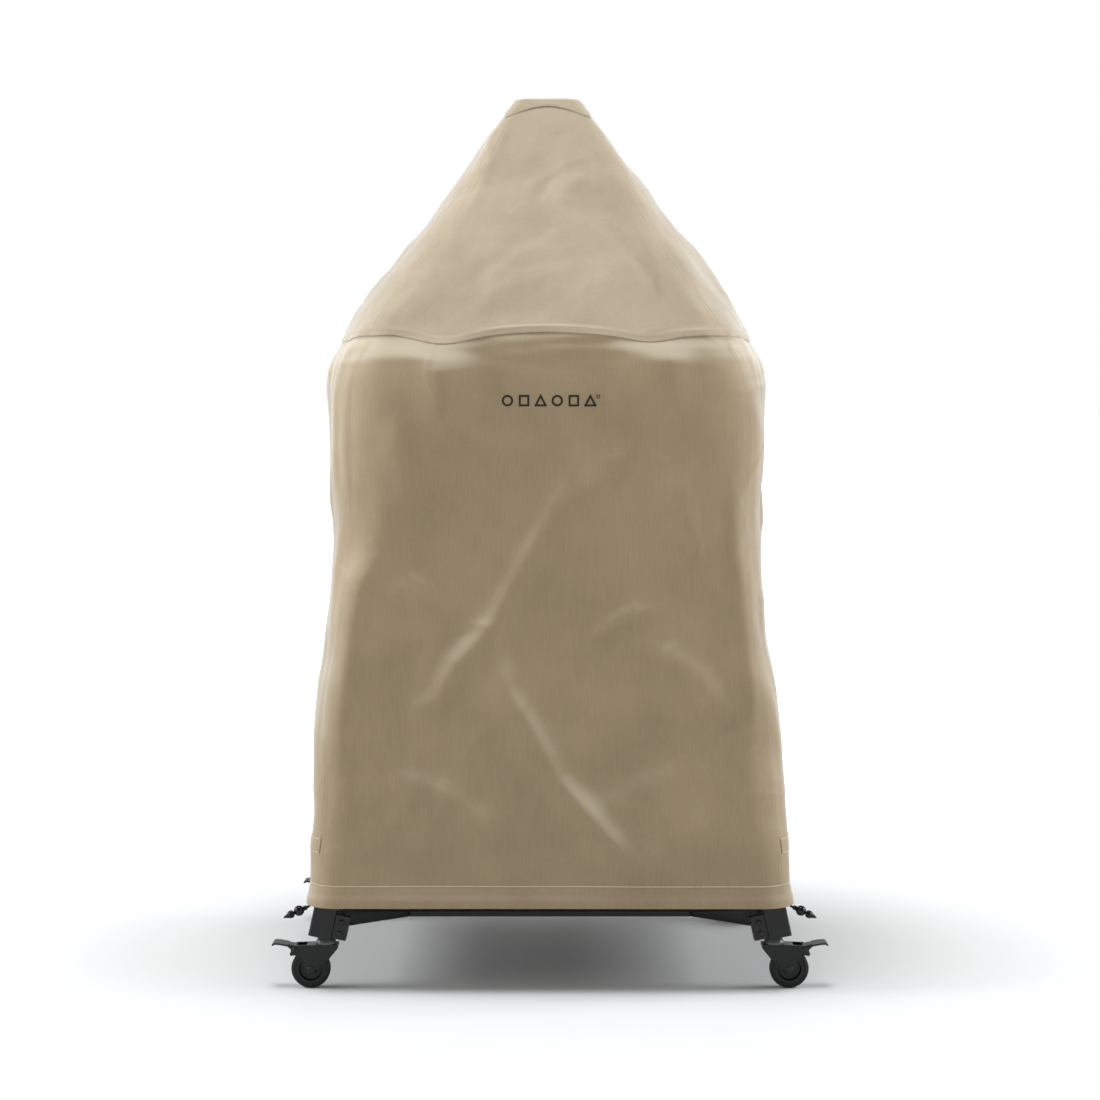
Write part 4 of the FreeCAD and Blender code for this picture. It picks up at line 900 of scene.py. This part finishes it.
drawcordCut = {
    "radius": 0.0024, "inset": 0.0070, "height": 0.172,
    "hemWide": 0.468, "hemDeep": 0.365, "hemRound": 0.064,         # half sizes of the hem and its corner
    "exitAngle": 201.5, "bend": 0.0070, "drop": 0.003, "turn": 70.0, "tail": 0.0375,
    "ringSides": 10, "tailSides": 24, "weld": 0.00001,
    "braids": 8, "braidRise": 0.00022, "braidPitch": 0.0085,
}


def tubeAlong(name, line, sides, closed=False):
    line = np.array(line)
    walked = walkedAlong(line)
    way = np.gradient(line, axis=0)
    way /= np.linalg.norm(way, axis=1)[:, None]
    up = np.array([0.0, 0.0, 1.0]) if abs(way[0][2]) < 0.8 else np.array([1.0, 0.0, 0.0])
    rings = []
    angles = np.arange(sides) / sides * 2 * math.pi
    size = np.full(sides, drawcordCut["radius"])
    for place, ahead, gone in zip(line, way, walked):
        up = up - ahead * np.dot(up, ahead)
        up /= np.linalg.norm(up)
        beside = np.cross(ahead, up)
        if not closed:    # only the tails show their braid
            wound = gone / drawcordCut["braidPitch"] * 2 * math.pi
            one = np.cos(drawcordCut["braids"] / 2 * angles + wound)
            other = np.cos(drawcordCut["braids"] / 2 * angles - wound)
            size = drawcordCut["radius"] + drawcordCut["braidRise"] * np.maximum(one, other)
        around = np.cos(angles)[:, None] * up + np.sin(angles)[:, None] * beside
        rings.append(place + size[:, None] * around)
    if closed:
        rings.append(rings[0])
    points = np.array(rings)
    points = np.concatenate([points, points[:, :1]], axis=1)
    piece = gridMesh(name, points, materials["elastic"])
    openForEdit(piece)
    bpy.ops.mesh.remove_doubles(threshold=drawcordCut["weld"])
    if not closed:
        bpy.ops.mesh.select_all(action="DESELECT")
        bpy.ops.mesh.select_non_manifold()
        bpy.ops.mesh.edge_face_add()
        bpy.ops.mesh.select_all(action="SELECT")
    bpy.ops.mesh.normals_make_consistent(inside=False)
    bpy.ops.object.mode_set(mode="OBJECT")
    return piece


def ringLine():
    c = drawcordCut
    wide, deep, radius = (c[key] - c["inset"] for key in ("hemWide", "hemDeep", "hemRound"))
    line = []
    for turn in range(4):
        along, out = (wide, deep) if turn % 2 == 0 else (deep, wide)
        spin = Matrix.Rotation(turn * math.pi / 2, 3, "Z")
        flat = [Vector((x, -out, c["height"])) for x in np.linspace(radius - along, along - radius, 150)[:-1]]
        middle = Vector((along - radius, radius - out, c["height"]))
        bend = [middle + radius * Vector((math.sin(a), -math.cos(a), 0)) for a in
                np.linspace(0, math.pi / 2, 24)[:-1]]
        line += [spin @ point for point in flat + bend]
    return line


# A tail leaves the tunnel downwards, turns out under the hem and carries a ball lock and an end bead.
def tailLine(side):
    c = drawcordCut
    angle = math.radians(c["exitAngle"])
    out = Vector((math.cos(angle), math.sin(angle), 0))
    corner = Vector((c["hemRound"] - c["hemWide"], c["hemRound"] - c["hemDeep"], 0))
    exitPoint = corner + out * c["hemRound"] + Vector((0, 0, hemHeight))
    local = [(-c["inset"], z) for z in np.linspace(c["height"] - hemHeight, c["drop"], 6)[:-1]]
    centre = c["bend"] - c["inset"]
    for a in np.linspace(0, math.radians(c["turn"]), 16):
        local.append((centre - c["bend"] * math.cos(a), c["drop"] - c["bend"] * math.sin(a)))
    last = local[-1]
    slope = math.radians(90 - c["turn"])
    local += [(last[0] + d * math.cos(slope), last[1] - d * math.sin(slope))
              for d in np.linspace(0.001, c["tail"], 60)]
    line = [exitPoint + out * a + Vector((0, 0, b)) for a, b in local]
    return [Vector((point.x * side, point.y, point.z)) for point in line]


def buildDrawcord():
    pieces = [tubeAlong("drawcordRing", ringLine(), drawcordCut["ringSides"], closed=True)]
    for side, label in ((1, "Left"), (-1, "Right")):
        pieces.append(tubeAlong("drawcordTail" + label, tailLine(side), drawcordCut["tailSides"]))
    for piece in pieces:
        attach(piece, "cover")
        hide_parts("drawcord")


# ---- turned plastic: ball locks, their barrels and the end beads
turned = {
    "ball": (-0.4784, -0.3303, 0.1548),    # the left ball's middle
    "way": (-0.8740, -0.3444, -0.3420),    # along the cord's tail, outwards
    "beadAlong": 0.0178,
    "bore": 0.0026,
    "steps": 40,
    "weld": 0.00003,
    "ballRadius": 0.010,
    "barrel": [(-0.0050, 0.0026), (-0.0050, 0.0043), (-0.0100, 0.0045), (-0.0104, 0.0042), (-0.0110, 0.0042),
               (-0.0114, 0.0046), (-0.0122, 0.0046), (-0.0126, 0.0042), (-0.0132, 0.0042), (-0.0136, 0.0046),
               (-0.0150, 0.0046), (-0.0158, 0.0042), (-0.0160, 0.0036), (-0.0160, 0.0026), (-0.0050, 0.0026)],
    "bead": [(-0.0030, 0.0), (-0.0030, 0.0026), (-0.0072, 0.0026), (-0.0074, 0.0036), (-0.0068, 0.0052),
             (-0.0052, 0.0062), (-0.0046, 0.0058), (0.0006, 0.0062), (0.0012, 0.0070), (0.0024, 0.0072),
             (0.0032, 0.0064), (0.0060, 0.0046), (0.0100, 0.0030), (0.0134, 0.0017), (0.0146, 0.0008),
             (0.0149, 0.0)],
    "ribs": (-0.0046, 0.0006, 0.0013),     # from, to, height
}


# The ball is bored for the cord, with a socket for its barrel and a moulding line round the middle.
def ballProfile():
    profile = [(0.0050, turned["bore"]), (0.0094, turned["bore"])]
    arc = [math.radians(t) for t in (20, 28, 36, 44, 52, 60, 68, 76, 82, 87)]
    radius = turned["ballRadius"]
    profile += [(radius * math.cos(t), radius * math.sin(t)) for t in arc]
    profile += [(0.0004, 0.0096), (-0.0004, 0.0096)]    # the moulding line
    profile += [(-radius * math.cos(t), radius * math.sin(t)) for t in reversed(arc[2:])]
    profile += [(-0.0078, 0.0050), (-0.0012, 0.0050), (-0.0012, turned["bore"])]    # the socket
    return profile + [(0.0050, turned["bore"])]


# A profile walked out one point at a time, then spun round the cord's line.
def turnProfile(name, profile, middle):
    way = Vector(turned["way"]).normalized()
    side = way.orthogonal().normalized()
    places = [middle + way * along + side * radius for along, radius in profile]
    bpy.ops.object.select_all(action="DESELECT")
    bpy.ops.mesh.primitive_plane_add(size=0.002, location=places[0])
    piece = bpy.context.active_object
    piece.name = piece.data.name = name
    bpy.ops.object.transform_apply(location=True, rotation=True, scale=True)
    bpy.ops.object.mode_set(mode="EDIT")
    bpy.ops.mesh.select_all(action="SELECT")
    bpy.ops.mesh.merge(type="CENTER")
    for here, after in zip(places, places[1:]):
        bpy.ops.mesh.extrude_region_move(TRANSFORM_OT_translate={"value": after - here})
    bpy.ops.mesh.select_all(action="SELECT")
    bpy.ops.mesh.spin(steps=turned["steps"], angle=2 * math.pi, center=middle, axis=way)
    bpy.ops.mesh.select_all(action="SELECT")
    bpy.ops.mesh.remove_doubles(threshold=turned["weld"])
    bpy.ops.mesh.normals_make_consistent(inside=False)
    bpy.ops.object.mode_set(mode="OBJECT")
    piece.data.materials.append(materials["lockPlastic"])
    return piece


def raiseRibs(piece, middle):
    way = Vector(turned["way"]).normalized()
    side = way.orthogonal().normalized()
    beside = way.cross(side)
    low, high, rise = turned["ribs"]
    onlySelect(piece)
    bpy.ops.object.mode_set(mode="EDIT")
    bpy.ops.mesh.select_mode(type="FACE")
    bpy.ops.mesh.select_all(action="DESELECT")
    bpy.ops.object.mode_set(mode="OBJECT")
    for face in piece.data.polygons:
        spot = face.center - middle
        step = math.atan2(spot.dot(beside), spot.dot(side)) / (2 * math.pi) * turned["steps"]
        face.select = low < spot.dot(way) < high and math.floor(step) % 5 in (0, 1)    # two steps in five
    bpy.ops.object.mode_set(mode="EDIT")
    bpy.ops.mesh.extrude_region_shrink_fatten(TRANSFORM_OT_shrink_fatten={"value": rise})
    bpy.ops.object.mode_set(mode="OBJECT")


def copyPiece(piece, name):
    copied = piece.copy()
    copied.data = piece.data.copy()
    copied.name = copied.data.name = name
    bpy.context.scene.collection.objects.link(copied)
    return copied


def finishTurned(piece, body, node):
    onlySelect(piece)
    bpy.ops.object.shade_smooth_by_angle(angle=hardEdge)
    mirrored = copyPiece(piece, piece.name.replace("Left", "Right"))
    mirrored.data.transform(Matrix.Scale(-1, 4, Vector((1, 0, 0))))
    mirrored.data.flip_normals()
    for made, label in ((piece, "left"), (mirrored, "right")):
        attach(made, body.format(label))
        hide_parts(node.format(label))


def buildLocks():
    middle = Vector(turned["ball"])
    beadMiddle = middle + Vector(turned["way"]).normalized() * turned["beadAlong"]
    finishTurned(turnProfile("lockBallLeft", ballProfile(), middle), "cover", "cord_lock_balls")
    finishTurned(turnProfile("lockBarrelLeft", turned["barrel"], middle), "cord_lock_barrel_{}",
                 "cord_lock_barrel_{}")
    bead = turnProfile("endBeadLeft", turned["bead"], beadMiddle)
    raiseRibs(bead, beadMiddle)
    finishTurned(bead, "cover", "end_beads")


# ---- the arms, pressed deeper where they meet the legs, with their edges rolled
armCut = {"crown": 0.142, "rise": 0.0105, "roll": 0.0010, "rollSteps": 2, "rollFrom": 40, "flatUpTo": 1,
          "weld": 0.00002}


def copyNode(node, name):
    piece = copyPiece(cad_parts[node], name)
    piece.parent = None
    openForEdit(piece)
    bpy.ops.mesh.remove_doubles(threshold=armCut["weld"])
    bpy.ops.mesh.dissolve_limited(angle_limit=math.radians(armCut["flatUpTo"]))
    bpy.ops.mesh.select_mode(type="VERT")
    bpy.ops.mesh.select_all(action="DESELECT")
    bpy.ops.object.mode_set(mode="OBJECT")
    for key in [key for key in piece.keys() if key.startswith("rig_")]:
        del piece[key]
    return piece


def buildArms():
    for corner in ("front_left", "front_right", "back_left", "back_right"):
        words = corner.split("_")
        arm = copyNode("arm_" + corner, "arm" + words[0].capitalize() + words[1].capitalize())
        for vertex in arm.data.vertices:
            vertex.select = vertex.co.z > armCut["crown"]
        bpy.ops.object.mode_set(mode="EDIT")
        bpy.ops.transform.translate(value=(0, 0, armCut["rise"]))
        bpy.ops.object.mode_set(mode="OBJECT")
        roll = arm.modifiers.new("rolledEdges", "BEVEL")
        roll.width = armCut["roll"]
        roll.segments = armCut["rollSteps"]
        roll.limit_method = "ANGLE"
        roll.angle_limit = math.radians(armCut["rollFrom"])
        bpy.ops.object.modifier_apply(modifier=roll.name)
        bpy.ops.object.shade_smooth_by_angle(angle=hardEdge)
        arm.data.materials.clear()
        arm.data.materials.append(materials["armSteel"])
        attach(arm, "stand")
        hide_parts("arm_" + corner)


# ---- a printed row of plain shapes on the front
printMark = {
    "middle": (0.0020, 1.1250), "tall": 0.0215, "stroke": 0.0038, "gap": 0.0312, "proud": 0.0004,
    "shift": -0.004, "ringAcross": 0.0885, "ringDown": 0.001, "ringRadius": 0.0029, "ringStroke": 0.4,
    "step": 0.0012, "thick": 0.00064, "weld": 0.00001,
}


def markStrokes():
    cx, cz = printMark["middle"]
    half = (printMark["tall"] - printMark["stroke"]) / 2
    circle = [(math.cos(a), math.sin(a)) for a in np.linspace(0, 2 * math.pi, 49)]
    square = [(-0.9, -1), (0.9, -1), (0.9, 1), (-0.9, 1), (-0.9, -1)]
    peak = [(-1.05, -1), (0, 1), (1.05, -1), (-1.05, -1)]
    strokes = []
    for k, shape in enumerate([circle, square, peak, circle, square, peak]):
        middle = cx + (k - 2.5) * printMark["gap"] + printMark["shift"]
        strokes.append([(middle + a * half, cz + b * half) for a, b in shape])
    ringX, ringZ = cx + printMark["ringAcross"], cz + half - printMark["ringDown"]
    strokes.append([(ringX + a * printMark["ringRadius"], ringZ + b * printMark["ringRadius"])
                    for a, b in circle])
    return strokes


def buildMark(skirt):
    surface = BVHTree.FromPolygons([v.co.copy() for v in skirt.data.vertices],
                                   [tuple(f.vertices) for f in skirt.data.polygons])
    points, faces = [], []
    for number, stroke in enumerate(markStrokes()):
        wide = printMark["stroke"] * (printMark["ringStroke"] if number == 6 else 1.0) / 2
        corners = []
        loop = stroke[:-1]
        for k, here in enumerate(loop):
            before, after = Vector(loop[k - 1]), Vector(loop[(k + 1) % len(loop)])
            a = (Vector(here) - before).normalized()
            b = (after - Vector(here)).normalized()
            normal = Vector((-(a + b).y, (a + b).x)).normalized()
            reach = wide / max(normal.dot(Vector((-a.y, a.x))), 0.3)
            corners.append((Vector(here) + normal * reach, Vector(here) - normal * reach))
        dense = []
        for k in range(len(corners)):
            following = corners[(k + 1) % len(corners)]
            pieces = max(1, int((following[0] - corners[k][0]).length / printMark["step"]))
            for step in range(pieces):
                t = step / pieces
                dense.append([corners[k][i].lerp(following[i], t) for i in (0, 1)])
        start, count = len(points), len(dense)
        for outer, inner in dense:
            for share in (0.0, 0.33, 0.67, 1.0):
                flat = outer.lerp(inner, share)
                hit = surface.ray_cast(Vector((flat.x, -1.0, flat.y)), Vector((0, 1, 0)))[0]
                points.append((hit.x, hit.y - printMark["proud"], hit.z))
        for k in range(count):
            here, following = start + 4 * k, start + 4 * ((k + 1) % count)
            faces += [(here + i, here + i + 1, following + i + 1, following + i) for i in range(3)]
    piece = addPiece("printedShapes", points, faces, materials["ink"])
    openForEdit(piece)
    bpy.ops.mesh.remove_doubles(threshold=printMark["weld"])
    bpy.ops.mesh.normals_make_consistent(inside=False)
    bpy.ops.object.mode_set(mode="OBJECT")
    if piece.data.polygons[0].normal.y > 0:
        piece.data.flip_normals()
    thicken(piece, printMark["thick"])
    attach(piece, "cover")


# Matt white paper, lit from within further out, so that it meets the white sweep without a line.
def buildFloor():
    bpy.ops.object.select_all(action="DESELECT")
    bpy.ops.mesh.primitive_plane_add(size=2 * studio["floorHalf"])
    floor = bpy.context.active_object
    floor.name = "studioFloor"
    tone = studio["paperTone"]
    material, tree, shader = newMaterial("whitePaper", {
        "Roughness": 0.9, "Base Color": (tone, tone, tone, 1), "Emission Color": (1, 1, 1, 1)})
    place = addNode(tree, "ShaderNodeTexCoord").outputs["Object"]
    away = addNode(tree, "ShaderNodeVectorMath", links={0: place}, operation="LENGTH").outputs["Value"]
    rises = [addNode(tree, "ShaderNodeMapRange", {"From Min": near, "From Max": far, "To Max": glow},
                     {"Value": away}, interpolation_type="SMOOTHSTEP").outputs["Result"]
             for near, far, glow in studio["paperGlow"]]
    total = addNode(tree, "ShaderNodeMath", links={0: rises[0], 1: rises[1]}, operation="ADD")
    tree.links.new(total.outputs["Value"], shader.inputs["Emission Strength"])
    floor.data.materials.append(material)


buildStudio()
buildFloor()
print("studio set")
skirtPieces = buildSkirt()
hoodPieces = buildHood()
skirtGrids = {side: grid for side, (piece, grid) in skirtPieces.items()}
hoodGrids = {side: grid for side, (piece, grid) in hoodPieces.items()}
capPoints = buildCap()
buildStitches(skirtGrids, hoodGrids, capPoints)
buildBands(skirtGrids)
buildFacing(skirtGrids)
buildDrawcord()
buildMark(skirtPieces["front"][0])
print("cover sewn")
buildLocks()
print("cord locks turned")
buildArms()
print("arms rolled")

nodeFinishes = {
    "leg_": "legSteel", "arm_": "armSteel", "arm_bolts": "boltSteel", "caster_fork": "forkSteel",
    "caster_pins": "boltSteel", "caster_tyre": "rubber", "caster_hub": "forkSteel", "brake_pedal": "legSteel",
    "caster_stems": "race", "cord_lock": "lockPlastic", "end_beads": "lockPlastic", "drawcord": "armSteel",
    "lower_shelf": "armSteel", "worktop_tray": "armSteel", "left_rail": "legSteel", "right_rail": "legSteel",
    "hearth_base": "armSteel", "cooking_stone": "stone", "dome": "clay", "flue": "legSteel",
    "leg_plugs": "armSteel", "side_bands": "webbing", "hem_band": "skirt", "top_cap": "cap",
}
for name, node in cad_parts.items():
    for start, finish in nodeFinishes.items():
        if name.startswith(start):
            node.data.materials.clear()
            node.data.materials.append(materials[finish])
